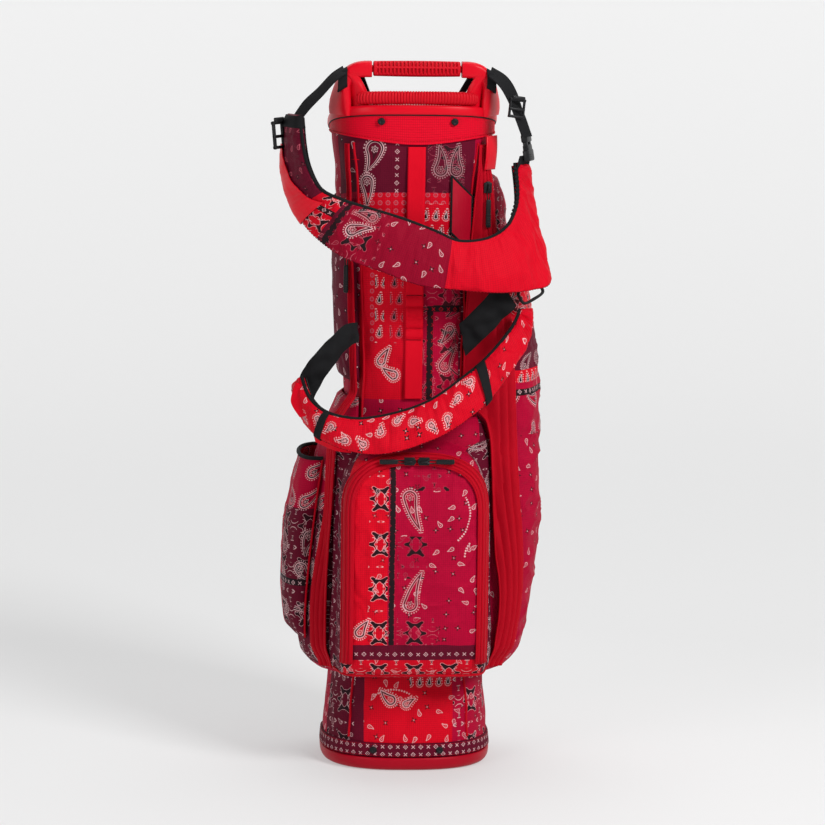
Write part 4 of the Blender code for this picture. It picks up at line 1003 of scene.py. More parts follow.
# ================================================================ trim on the harness side
def make_trim():
    low, high = 0.47, 0.784

    def spine(u, v):
        x = 0.011 * (2.0 * u - 1.0)
        z = low + (high - low) * v
        angle = math.atan2(-0.09, x)
        loops = 0.003 * abs(math.sin(math.pi * (z - 0.545) / 0.0135)) ** 0.6 if 0.545 < z < 0.599 else 0.0
        side = 0.0003 * math.sqrt(max(0.0, 1.0 - abs(2.0 * u - 1.0) ** 8))
        lift = 0.002 + side + loops + crumple((x, 0, z), 0.03, 0.0008)
        return Vector((x, -body_radius(angle, z) - lift, z))

    web = into_scene("spine_web", woven(10, 220, spine, low=low))
    dressed(thicken(web, 0.0016), "red_web", "spine_webbing")
    for k, z in enumerate((0.545, 0.5585, 0.572, 0.5855, 0.599)):
        points = [spine(u, (z - low) / (high - low)) + Vector((0, -0.0004, 0)) for u in even(0.04, 0.96, 9)]
        for rise in (-0.0008, 0.0008):
            lifted = [point + Vector((0, 0, rise)) for point in points]
            name = f"spine_bartack_{k}_{'low' if rise < 0 else 'high'}"
            dressed(stitches(name, lifted, 0.0016, 0.0005, fill=0.8), "thread_dark")

    def glove(u, v):
        x = 0.044 + 0.026 * u
        z = 0.678 - 0.026 * u + 0.07 * v
        angle = math.atan2(-0.09, x)
        for step in range(8):
            angle = -math.acos(max(-1.0, min(1.0, x / body_radius(angle, z))))
        y = body_radius(angle, z) * math.sin(angle) - 0.003 - crumple((x, 0, z), 0.02, 0.0008)
        return Vector((x, y, z))

    patch = into_scene("glove_tab", woven(20, 40, glove))
    dressed(thicken(patch, 0.0014, 0.0), "dark_satin", "glove_patch")
    rim = [glove(u, 0.0) for u in even(0, 1, 9)] + [glove(1.0, v) for v in even(0, 1, 15)][1:]
    rim += [glove(u, 1.0) for u in even(1, 0, 9)][1:] + [glove(0.0, v) for v in even(1, 0, 15)][1:]
    piping("glove_tab_binding", rim, 0.0014, 160, "black_web", ends=False)

    def tag(u, v):
        x = 0.085 + 0.014 * u + 0.002 * math.sin(2.0 * v)
        return Vector((x, -0.083 - 0.004 * math.sin(math.pi * v) + 0.016 * u, 0.755 + 0.042 * v))

    dressed(thicken(into_scene("red_zip_tag", woven(8, 24, tag)), 0.0014, 0.0), "red_satin")


# ================================================================ carrying harness
UPPER_INNER = (
    (-0.1445, -0.1, 0.822), (-0.14, -0.105, 0.784), (-0.1325, -0.112, 0.756), (-0.1185, -0.12, 0.733),
    (-0.0945, -0.128, 0.721), (-0.063, -0.135, 0.7115), (-0.019, -0.14, 0.6985), (0.019, -0.142, 0.6845),
    (0.05, -0.142, 0.672), (0.085, -0.138, 0.675), (0.1095, -0.128, 0.689), (0.1215, -0.115, 0.7115),
    (0.124, -0.105, 0.735), (0.1215, -0.095, 0.765),
)
UPPER_OUTER = (
    (-0.156, -0.04, 0.82), (-0.16, -0.045, 0.782), (-0.16, -0.058, 0.744), (-0.15, -0.078, 0.709),
    (-0.13, -0.102, 0.679), (-0.093, -0.128, 0.652), (-0.044, -0.144, 0.6345), (0.001, -0.15, 0.619),
    (0.045, -0.152, 0.614), (0.096, -0.15, 0.61), (0.142, -0.132, 0.612), (0.166, -0.108, 0.622),
    (0.153, -0.08, 0.676), (0.1385, -0.068, 0.765),
)
LOWER_INNER = (
    (-0.14, -0.112, 0.501), (-0.131, -0.128, 0.478), (-0.113, -0.142, 0.462), (-0.088, -0.15, 0.455),
    (-0.062, -0.155, 0.4545), (-0.022, -0.16, 0.463), (0.018, -0.162, 0.479), (0.059, -0.158, 0.508),
    (0.087, -0.15, 0.531), (0.113, -0.135, 0.559), (0.124, -0.122, 0.574), (0.129, -0.114, 0.586),
)
LOWER_OUTER = (
    (-0.146, -0.07, 0.486), (-0.141, -0.098, 0.454), (-0.123, -0.13, 0.432), (-0.098, -0.153, 0.42),
    (-0.062, -0.167, 0.413), (-0.022, -0.174, 0.4175), (0.031, -0.177, 0.438), (0.074, -0.173, 0.467),
    (0.095, -0.162, 0.487), (0.1225, -0.14, 0.522), (0.141, -0.117, 0.552), (0.145, -0.104, 0.586),
)


def strap_frame(edge_a, edge_b, v):
    """Middle, way across, way out and half width of a strap between two edge curves."""
    one, two = on_curve(edge_a, v), on_curve(edge_b, v)
    before = on_curve(edge_a, v - 0.01) + on_curve(edge_b, v - 0.01)
    after = on_curve(edge_a, v + 0.01) + on_curve(edge_b, v + 0.01)
    across = (two - one).normalized()
    normal = (after - before).cross(two - one).normalized()
    return (one + two) / 2, across, normal, (two - one).length / 2


def pad_surface(edge_a, edge_b, thick, seed):
    """A stuffed pad's skin: u goes across its face and back under it, v along it."""

    def place(u, v, grow=0.0):
        middle, across, normal, half = strap_frame(edge_a, edge_b, v)
        turn = math.tau * u
        a, b = oblong(turn, half + grow, thick, 2.6)
        spot = middle + across * a
        gather = 1.0 + 1.6 * smooth_step(0.72, 0.85, v)
        broad = noise.noise(Vector((v * 26.0, a * 22.0, seed)))
        fine = abs(noise.noise(Vector((v * 64.0, a * 12.0, seed + 5.0))))
        wrinkle = gather * (0.0022 * broad + 0.0016 * fine)
        end = math.sqrt(max(0.0, 1.0 - abs(2.0 * v - 1.0) ** 40))
        return spot + normal * (b * (0.4 + 0.6 * end) * (1.0 + grow / thick) - wrinkle * math.sin(turn))

    return place


def out_sign(edge_a, edge_b):
    """1 if a strap's own normal points away from the bag."""
    middle, _, normal, _ = strap_frame(edge_a, edge_b, 0.5)
    return 1.0 if normal.dot(Vector((middle.x, middle.y, 0.0))) > 0 else -1.0


# inner edge, outer edge, half thickness, seed of its wrinkles, where bands hold it
PADS = {
    "upper": (UPPER_INNER, UPPER_OUTER, 0.0078, 3.0, (0.02,)),
    "lower": (LOWER_INNER, LOWER_OUTER, 0.0075, 8.0, (0.2, 0.69)),
}
PAD_SIDES, PAD_STEPS = 64, 260


def make_pad(label):
    edge_a, edge_b, thick, seed, bands = PADS[label]
    place = pad_surface(edge_a, edge_b, thick, seed)
    facing = out_sign(edge_a, edge_b)

    def skin(u, v):
        return place(u, v)

    def backing(u, v):
        """The mesh that faces the shoulder, just under the pad's own skin."""
        middle, across, normal, half = strap_frame(edge_a, edge_b, 0.01 + 0.98 * v)
        a = half * 0.93 * (2.0 * u - 1.0)
        bow = thick * max(0.0, 1.0 - abs(a / half) ** 2.6) ** (1 / 2.6)
        return middle + across * a - normal * facing * (bow + 0.0012)

    bm = close_ends(woven(PAD_SIDES, PAD_STEPS, skin, seam=True))
    pad = into_scene(f"{label}_pad_cover", bm, turn_out=True)
    fixed = []
    for j in range(PAD_STEPS + 1):
        v = j / PAD_STEPS
        banded = any(abs(v - at) < 0.03 for at in bands)
        for i in range(PAD_SIDES):
            turn = math.tau * i / PAD_SIDES
            sleeved = label == "upper" and 0.05 < v < 0.31 and math.cos(turn) > -0.4
            if banded or sleeved or facing * math.sin(turn) < 0.3:
                fixed.append(place(i / PAD_SIDES, v))
    settled(pad, near_points(fixed, 0.0004), 0.005, 1.0, 0.04)
    dressed(pad, f"{label}_pad_print", label + "_strap_pad")
    edge = [place(0.5, v, 0.0006) for v in even(0.0, 1.0, 90)]
    piping(f"{label}_pad_piping", edge, 0.0023, 300, "black_rubber_cord", 10)
    for name, at in (("inner", 0.5 - facing * 0.035), ("outer", facing * 0.035)):
        row = [place(at % 1.0, v, 0.0003) for v in even(0.01, 0.99, 140)]
        dressed(stitches(f"{label}_pad_stitches_{name}", row, 0.0042, 0.00035), "thread_dark")
    back = into_scene(f"{label}_pad_mesh_back", woven(16, 160, backing))
    dressed(thicken(back, 0.001, 0.0), "spacer_mesh")


def make_pad_trim():
    """The rope edge at the upper pad's right end, and the glossy sleeve on its left."""
    edge_a, edge_b, thick, seed, _ = PADS["upper"]
    place = pad_surface(edge_a, edge_b, thick, seed)
    facing = out_sign(edge_a, edge_b)
    rope = [place(0.5, v, 0.001) for v in even(0.815, 0.99, 60)]
    dressed(stitches("upper_pad_rope_edge", rope, 0.0054, 0.0034, fill=0.5), "black_rubber_cord")

    def sleeve(u, v):
        at = 0.075 + 0.205 * v
        ring = facing * (-0.02 + (0.17 + 0.19 * v) * u)
        return place(ring % 1.0, at, 0.0022 + 0.001 * math.sin(math.pi * u))

    piece = into_scene("upper_pad_sleeve", woven(30, 60, sleeve))
    dressed(round_edges(thicken(piece, 0.0014, 0.0)), "red_satin")


def band_round(name, label, at, width):
    """A webbing band round a pad."""
    edge_a, edge_b, thick = PADS[label][:3]
    place = pad_surface(edge_a, edge_b, thick, 3.0)
    run = length_of(edge_a)

    def loop(u, v):
        return place(u, at + (v - 0.5) * width / run, 0.0016)

    dressed(thicken(into_scene(name, woven(64, 8, loop, seam=True)), 0.0012, 0.0), "black_web")


def web_along(name, edge_a, edge_b, finish="black_web", node=None, rows=30, limp=0.0):
    """Flat webbing between two edge curves, slightly bowed."""

    def place(u, v):
        middle, across, normal, half = strap_frame(edge_a, edge_b, v)
        share = 2.0 * u - 1.0
        spot = middle + across * (half * share)
        wave = crumple(spot, 0.03, 0.001) + crumple(spot, 0.016, limp, 2.0)
        return spot + normal * (wave + 0.0006 * share ** 2)

    piece = into_scene(name, woven(16, rows, place))
    dressed(round_edges(thicken(piece, 0.0018, 0.0)), finish, node)


WEBS = {
    "upper_web_left": (
        ((-0.088, -0.092, 0.873), (-0.099, -0.098, 0.866), (-0.115, -0.098, 0.848), (-0.131, -0.096, 0.831),
         (-0.144, -0.093, 0.814)),
        ((-0.091, -0.07, 0.881), (-0.105, -0.078, 0.872), (-0.122, -0.08, 0.854), (-0.14, -0.078, 0.837),
         (-0.153, -0.07, 0.816)),
    ),
    "upper_web_right": (
        ((0.087, -0.094, 0.87), (0.099, -0.103, 0.86), (0.109, -0.107, 0.844), (0.119, -0.108, 0.822),
         (0.129, -0.104, 0.7975)),
        ((0.093, -0.072, 0.881), (0.11, -0.084, 0.87), (0.122, -0.09, 0.851), (0.131, -0.091, 0.826),
         (0.142, -0.088, 0.7975)),
    ),
    "lower_web_left": (
        ((-0.07, -0.092, 0.566), (-0.086, -0.102, 0.564), (-0.106, -0.11, 0.548), (-0.124, -0.108, 0.528),
         (-0.14, -0.1, 0.505), (-0.144, -0.1, 0.488)),
        ((-0.07, -0.094, 0.542), (-0.084, -0.104, 0.534), (-0.099, -0.108, 0.516), (-0.111, -0.108, 0.499),
         (-0.123, -0.112, 0.479), (-0.13, -0.114, 0.464)),
    ),
    "lower_web_right": (
        ((0.056, -0.1, 0.566), (0.066, -0.111, 0.578), (0.082, -0.117, 0.596), (0.096, -0.117, 0.612),
         (0.106, -0.112, 0.618)),
        ((0.064, -0.1, 0.526), (0.08, -0.11, 0.544), (0.098, -0.114, 0.562), (0.113, -0.112, 0.578),
         (0.122, -0.108, 0.59)),
    ),
}


SHORT_WEBS = (
    ("upper_pad_end_web", "black_web",
     ((0.1265, -0.099, 0.774), (0.1225, -0.101, 0.756), (0.1235, -0.102, 0.735)),
     ((0.142, -0.076, 0.774), (0.1395, -0.076, 0.756), (0.142, -0.08, 0.735))),
    ("lower_pad_red_loop", "red_web",
     ((-0.146, -0.112, 0.494), (-0.152, -0.112, 0.47), (-0.142, -0.124, 0.452)),
     ((-0.134, -0.122, 0.486), (-0.138, -0.124, 0.468), (-0.13, -0.134, 0.456))),
    ("lower_pad_red_tab", "red_web",
     ((-0.128, -0.112, 0.446), (-0.104, -0.146, 0.436), (-0.082, -0.152, 0.43)),
     ((-0.122, -0.116, 0.42), (-0.1, -0.146, 0.414), (-0.08, -0.152, 0.412))),
)


def make_webs():
    for node, (edge_a, edge_b) in WEBS.items():
        limp = 0.007 if node.startswith("lower") else 0.0
        web_along(node + "_strap", edge_a, edge_b, node=node, rows=60, limp=limp)
    for name, finish, edge_a, edge_b in SHORT_WEBS:
        web_along(name, edge_a, edge_b, finish)
    # webbing wrapped over the handle's ends, down to each strap
    for label, side in SIDES:
        def wrap(u, v):
            a, b = oblong(math.radians(-40.0 + 330.0 * v), 0.0136, 0.0118, 4.0)
            x = 0.086 + 0.0115 * u
            return Vector((side * x, BAR_Y + a, BAR_Z - 0.0075 - 0.55 * (x - 0.08) + b))

        piece = into_scene("handle_web_wrap_" + label, woven(8, 48, wrap))
        dressed(thicken(piece, 0.0016, 0.0), "black_web")
    band_round("lower_pad_band_right", "lower", 0.69, 0.013)
    band_round("lower_pad_band_left", "lower", 0.2, 0.009)
    band_round("upper_pad_band_left", "upper", 0.02, 0.014)


def adjuster_shape(centre, across, up, half_across, half_up, thick):
    """A ladder lock: side rails, three cross bars that the webbing weaves round, and a lifting lip."""
    rail = half_across * 0.26
    bars = [
        block((x - rail / 2, -half_up, -thick / 2), (x + rail / 2, half_up, thick / 2), thick * 0.3, 3)
        for x in (rail / 2 - half_across, half_across - rail / 2)
    ]
    for at, deep in ((-0.86, 0.6), (-0.1, 0.5), (0.86, 0.7)):
        low, high = half_up * at - thick * 0.42, half_up * at + thick * 0.42
        depth = thick * deep
        bars.append(block((-half_across, low, -depth), (half_across, high, depth), thick * 0.25, 3))
    lip = half_across * 0.8
    bars.append(block((-lip, half_up * 0.84, 0.0), (lip, half_up * 1.24, thick * 1.1), thick * 0.3, 3))
    across, up, normal = squared(across, up)
    return moved(joined(*bars), axes_at(centre, across, up, normal))


def ring_shape(centre, across, up, half_across, half_up, bar):
    """A moulded loop with a rounded section."""
    across, up, normal = squared(across, up)
    up = normal.cross(across)

    def place(u, v):
        turn = math.tau * v
        x, y = oblong(turn, half_across - bar / 2, half_up - bar / 2, 4.5)
        out = Vector((x / half_across, y / half_up)).normalized()
        a, b = oblong(math.tau * u, bar / 2, bar / 2, 2.6)
        return Vector(centre) + across * (x + out.x * a) + up * (y + out.y * a) + normal * b

    return woven(12, 96, place, seam=True)


def make_hardware():
    for node, body, bm in (
        ("ladder_lock_right", "root", adjuster_shape(
            (0.1215, -0.106, 0.833), (0.95, 0.28, -0.14), (-0.3, 0, 0.95), 0.0105, 0.012, 0.0042)),
        ("ladder_lock_left", "root",
         adjuster_shape((-0.169, -0.064, 0.795), (0.5, 0.85, 0.0), (-0.12, 0, 1), 0.0125, 0.0175, 0.0046)),
        ("strap_ring", "strap_ring",
         ring_shape((0.143, -0.0985, 0.605), (0.75, 0.25, 0.42), (-0.45, 0.1, 0.85), 0.0175, 0.011, 0.004)),
    ):
        piece = into_scene(node + "_loop", bm, body, turn_out=True)
        dressed(piece, "black_moulded", node)

    across, up, normal = squared((0.35, 0.93, 0.0), (-0.16, 0.03, 0.98))
    place = axes_at((0.1372, -0.085, 0.785), across, up, normal)
    socket = joined(
        block((-0.0125, -0.0185, -0.004), (0.0125, -0.004, 0.004), 0.0018, 3),
        block((-0.01, -0.006, -0.0036), (0.01, 0.002, 0.0036), 0.0016, 3),
        *(block((-0.0085, y, 0.0034), (0.0085, y + 0.0012, 0.0046), 0.0005, 2)
          for y in (-0.0165, -0.0138, -0.0111)),
    )
    plug = joined(
        block((-0.0115, 0.005, -0.004), (0.0115, 0.015, 0.004), 0.0018, 3),
        block((-0.01, -0.003, -0.0028), (-0.0045, 0.007, 0.0028), 0.0012, 3),
        block((0.0045, -0.003, -0.0028), (0.01, 0.007, 0.0028), 0.0012, 3),
    )
    for node, bm in (("buckle_socket", socket), ("buckle_plug", plug)):
        piece = into_scene(node + "_moulding", moved(bm, place), turn_out=True)
        dressed(piece, "black_moulded", node)


# ================================================================ the stand, and rods inside
KEPT_NODES = {
    "black_moulded": ("leg_knuckle_left", "leg_knuckle_right", "leg_clip_left", "leg_clip_right", "push_shoe",
                      "shoe_guide"),
    "moulded": ("leg_bracket",),
    "steel": ("leg_pin_left", "leg_pin_right"),
    "glass_fibre": ("spine_stay", "stay_left", "stay_right"),
}


def make_stand():
    splay = math.radians(25.0)
    for label, side in SIDES:
        body = label + "_leg"
        axis = Vector((math.cos(splay), -side * math.sin(splay), 0.0))
        outward = axis * side
        x, y = side * 0.05, 0.127
        at = Matrix.Translation((x, y, 0.0))
        wall = ((0.0052, 0.062), (0.006, 0.062), (0.0063, 0.0624))
        wall += ((0.0063, 0.7556), (0.006, 0.756), (0.0052, 0.756))
        tube = into_scene("leg_tube_skin_" + label, moved(turned(wall, 40), at), body, turn_out=True)
        dressed(tube, "aluminium", "leg_tube_" + label)
        boot = [(0.0, 0.046), (0.0058, 0.046), (0.0082, 0.047), (0.0092, 0.0492)]
        for z in (0.052, 0.0555, 0.059, 0.0625, 0.066):
            boot += [(0.0096, z), (0.0096, z + 0.0018), (0.009, z + 0.0023), (0.009, z + 0.003)]
        boot += [(0.0084, 0.082), (0.0078, 0.0852), (0.007, 0.086), (0.0067, 0.086)]
        boot += [(0.0067, 0.0612), (0.0, 0.0612)]
        foot = into_scene("leg_boot_" + label, moved(turned(boot, 36), at), body, turn_out=True)
        dressed(foot, "black_rubber", "leg_foot_" + label)

        rod = Vector((x, y, 0.0)) - outward * 0.0175
        top, bottom, hook = 0.575, 0.075, 0.0036
        ends = []
        for z, way, reach in ((bottom, 1, -0.011), (top, -1, 0.0092)):
            turn = math.copysign(hook, reach)
            ends.append([
                rod + outward * reach + Vector((0, 0, z)),
                rod + outward * turn + Vector((0, 0, z)),
                rod + outward * 0.3 * turn + Vector((0, 0, z + way * 0.3 * hook)),
                rod + Vector((0, 0, z + way * hook)),
            ])
        shank = [rod + Vector((0, 0, z)) for z in even(bottom + 0.03, top - 0.03, 12)]
        points = [*ends[0], *shank, *reversed(ends[1])]
        bm = bar_along(points, 0.002, 14, 180)
        wire = into_scene("push_rod_wire_" + label, bm, label + "_rod", turn_out=True)
        dressed(wire, "steel", "push_rod_" + label)

    for finish, nodes in KEPT_NODES.items():
        for node in nodes:
            dressed(bpy.data.objects[node], finish)


# ================================================================ shader building
VECTOR, FLOAT, COLOUR = "NodeSocketVector", "NodeSocketFloat", "NodeSocketColor"
SOCKET_KINDS = {"VECTOR": VECTOR, "VALUE": FLOAT, "RGBA": COLOUR}


class Field:
    """A value that changes over a surface. Arithmetic on fields adds nodes to their shader."""

    def __init__(self, socket):
        self.socket = socket
        self.tree = socket.id_data

    def __add__(self, other):
        return calc("ADD", self, other)

    def __sub__(self, other):
        return calc("SUBTRACT", self, other)

    def __rsub__(self, other):
        return calc("SUBTRACT", other, self)

    def __mul__(self, other):
        return calc("MULTIPLY", self, other)

    def __truediv__(self, other):
        return calc("DIVIDE", self, other)


def feed(socket, value):
    """Links a field to a socket, or sets a number, a vector or a colour on it."""
    if isinstance(value, Field):
        value.tree.links.new(value.socket, socket)
    elif socket.type == "RGBA":
        socket.default_value = (*value, 1.0)
    else:
        socket.default_value = value


def shader_node(kind, *values, **settings):
    """A shader node whose first sockets are fed with the values."""
    tree = next(value.tree for value in values if isinstance(value, Field))
    made = tree.nodes.new("ShaderNode" + kind)
    for name, setting in settings.items():
        setattr(made, name, setting)
    for socket, value in zip(made.inputs, values):
        feed(socket, value)
    return made


def calc(operation, *values):
    vectors = any(isinstance(value, Field) and value.socket.type == "VECTOR" for value in values)
    made = shader_node("VectorMath" if vectors else "Math", *values, operation=operation)
    return Field(made.outputs[1 if operation == "LENGTH" else 0])


def ranged(value, low, high, start=0.0, end=1.0):
    return Field(shader_node("MapRange", value, low, high, start, end).outputs[0])


def mixed(share, one, two):
    made = shader_node("Mix", share, data_type="RGBA")
    feed(made.inputs[6], one)
    feed(made.inputs[7], two)
    return Field(made.outputs[2])


def split(vector):
    return [Field(socket) for socket in shader_node("SeparateXYZ", vector).outputs]


def vector_of(x, y, z=0.0):
    return Field(shader_node("CombineXYZ", x, y, z).outputs[0])


def spun(vector, angle):
    made = shader_node("VectorRotate", vector, rotation_type="Z_AXIS")
    feed(made.inputs["Angle"], angle)
    return Field(made.outputs[0])


def cloudy(vector, scale, detail):
    made = shader_node("TexNoise", vector, noise_dimensions="3D")
    made.inputs["Scale"].default_value = scale
    made.inputs["Detail"].default_value = detail
    return Field(made.outputs[0])


def line(distance, at, width):
    """1 within a thin line where a distance field passes a value."""
    return ranged(calc("ABSOLUTE", distance - at), width * 0.45, width * 0.75, 1.0, 0.0)


def inside(distance, at=0.0):
    return ranged(distance, at - 0.0003, at + 0.0003, 1.0, 0.0)


def most(*values):
    whole = values[0]
    for value in values[1:]:
        whole = calc("MAXIMUM", whole, value)
    return whole


def effect(name, *outputs):
    """Makes a shared shader group of a function: its parameters are the group's inputs."""

    def build(shape):
        tree = bpy.data.node_groups.new(name, "ShaderNodeTree")
        for label, kind in shape.__annotations__.items():
            tree.interface.new_socket(name=label, in_out="INPUT", socket_type=kind)
        start = tree.nodes.new("NodeGroupInput")
        found = shape(**{label: Field(start.outputs[label]) for label in shape.__annotations__})
        for label, field in zip(outputs, found):
            kind = SOCKET_KINDS[field.socket.type]
            tree.interface.new_socket(name=label, in_out="OUTPUT", socket_type=kind)
        end = tree.nodes.new("NodeGroupOutput")
        for socket, field in zip(end.inputs, found):
            feed(socket, field)
        return tree

    return build


def use(group, spot, **values):
    """Places a shared shader group, and gives its outputs."""
    made = spot.tree.nodes.new("ShaderNodeGroup")
    made.node_tree = group
    for name, value in {"spot": spot, **values}.items():
        feed(made.inputs[name], value)
    return [Field(socket) for socket in made.outputs]


# ================================================================ shared effects
@effect("curled drop", "distance", "turn", "phase")
def curled_drop(spot: VECTOR, radius: FLOAT, length: FLOAT, curl: FLOAT):
    """Distance to a curled teardrop's edge, negative inside, with its head at the origin."""
    x, y, _ = split(spot)
    up = calc("MAXIMUM", y, 0.0)
    down = calc("MINIMUM", y, 0.0)
    t = calc("MINIMUM", up / length, 1.0)
    past = calc("MAXIMUM", y - length, 0.0)
    reach = calc("LENGTH", vector_of(x - t * t * curl, down, past))
    # a phase that runs evenly round the head and up both sides, for dotted outlines
    phase = calc("MULTIPLY_ADD", calc("ARCTAN2", x, down), 22.0, up * 2244.0)
    return reach - radius * calc("POWER", 1.0 - t, 0.72), calc("ARCTAN2", x, y), phase


def paisley_lines(spot, drop, outline, inner, inner_width, faint, hub, beads, bead_width):
    """A paisley's outline, a fainter line inside it, a flower in its head and beads round it."""
    far, turn, phase = drop
    flower = calc("LENGTH", spot) - calc("SINE", turn * 6.0) * 0.0008
    return most(
        line(far, 0.0, outline), line(far, inner, inner_width) * faint, line(flower, hub, 0.0007),
        inside(flower, 0.001), line(far, beads, bead_width) * ranged(calc("SINE", phase), 0.0, 0.3),
    )


@effect("placed paisley", "pale", "dark")
def placed_paisley(spot: VECTOR, place: VECTOR, turn: FLOAT, radius: FLOAT, length: FLOAT, curl: FLOAT):
    """One large paisley at a chosen place: how far its pale lines and its dark ones cover a point."""
    local = spun(spot - place, turn)
    drop = use(curled_drop, local, radius=radius, length=length, curl=curl)
    pale = paisley_lines(local, drop, 0.0011, -0.0028, 0.0007, 0.8, 0.0034, 0.0026, 0.0014)
    return pale, most(line(drop[0], -0.0014, 0.0016), inside(drop[0], -0.007) * 0.8)


@effect("dotted arc", "dots")
def dotted_arc(spot: VECTOR, place: VECTOR, radius: FLOAT, middle: FLOAT, half: FLOAT):
    """A chain of dots along part of a circle."""
    pitch = 0.0034
    local = spot - place
    x, y, _ = split(local)
    angle = calc("ARCTAN2", y, x)
    step = calc("FRACT", angle * (radius / pitch)) - 0.5
    aside = vector_of(step * pitch, calc("LENGTH", local) - radius)
    return (inside(calc("LENGTH", aside), 0.0011) * calc("COMPARE", angle, middle, half),)


@effect("scattered places", "local", "pick", "chance")
def scattered(spot: VECTOR, pitch: FLOAT, jitter: FLOAT, twist: FLOAT):
    """Local, turned coordinates round scattered points, with two random values for each point."""
    x, y, _ = split(spot / vector_of(pitch, pitch, 1.0))
    flat = vector_of(x, y)
    cells = shader_node("TexVoronoi", flat, voronoi_dimensions="2D")
    cells.inputs["Scale"].default_value = 1.0
    feed(cells.inputs["Randomness"], jitter)
    local = shader_node("VectorMath", flat - Field(cells.outputs["Position"]), operation="SCALE")
    feed(local.inputs["Scale"], pitch)
    turn, pick, chance = split(Field(cells.outputs["Color"]))
    return spun(Field(local.outputs[0]), turn * twist), pick, chance


@effect("rows of places", "local")
def rowed(spot: VECTOR, pitch: VECTOR, offset: FLOAT):
    """Local coordinates in an even grid whose every other row is set over by a share of the pitch."""
    x, y, _ = split(spot / pitch)
    over = calc("FLOORED_MODULO", calc("FLOOR", y), 2.0) * offset
    return (vector_of(calc("FRACT", x + over) - 0.5, calc("FRACT", y) - 0.5) * pitch,)


@effect("cloth patch", "mask")
def cloth_patch(spot: VECTOR, low: VECTOR, high: VECTOR):
    """1 inside a rectangle of the cloth."""
    left, bottom, _ = split(spot - low)
    right, top, _ = split(high - spot)
    least = calc("MINIMUM", calc("MINIMUM", left, bottom), calc("MINIMUM", right, top))
    return (ranged(least, -0.0002, 0.0002),)


@effect("ripstop weave", "height", "rib")
def ripstop_weave(spot: VECTOR):
    """Fine threads with a heavier one every few, and where the heavy ones are."""
    x, y, _ = split(spot)
    fine = [calc("SINE", way * (math.tau / 0.00055)) for way in (x, y)]
    waves = [calc("ABSOLUTE", calc("SINE", way * (math.pi / 0.0026))) for way in (x, y)]
    rib = most(*(ranged(wave, 0.0, 0.34, 1.0, 0.0) for wave in waves))
    return (fine[0] + fine[1]) * 0.12 + rib, rib


@effect("tape weave", "height", "dip")
def tape_weave(spot: VECTOR):
    """Woven tape: ribs across it, split by slanting twill lines."""
    x, y, _ = split(spot)
    weft = calc("SINE", x * 2600.0 + y * 4200.0) * calc("SINE", x * 2600.0 - y * 4200.0)
    return calc("MULTIPLY_ADD", weft, 0.5, 0.5), ranged(weft, -1.0, 0.2, 1.0, 0.0)


@effect("moulded wear", "gloss", "grain")
def moulded_wear(spot: VECTOR):
    """Uneven gloss of moulded plastic: broad smears and fine grain."""
    grain = cloudy(spot, 900.0, 2.0)
    return calc("MULTIPLY_ADD", cloudy(spot, 28.0, 3.0), 0.16, grain * 0.06), grain


@effect("slack cloth", "height")
def slack_cloth(spot: VECTOR):
    """Long soft folds with a few sharper ridges."""
    long = spot * (1.0, 1.0, 0.5)
    ridge = calc("ABSOLUTE", calc("MULTIPLY_ADD", cloudy(long, 17.0, 1.0), 2.0, -1.0))
    return (calc("MULTIPLY_ADD", ranged(ridge, 0.0, 0.16, 1.0, 0.0), 0.35, cloudy(long, 26.0, 2.0)),)


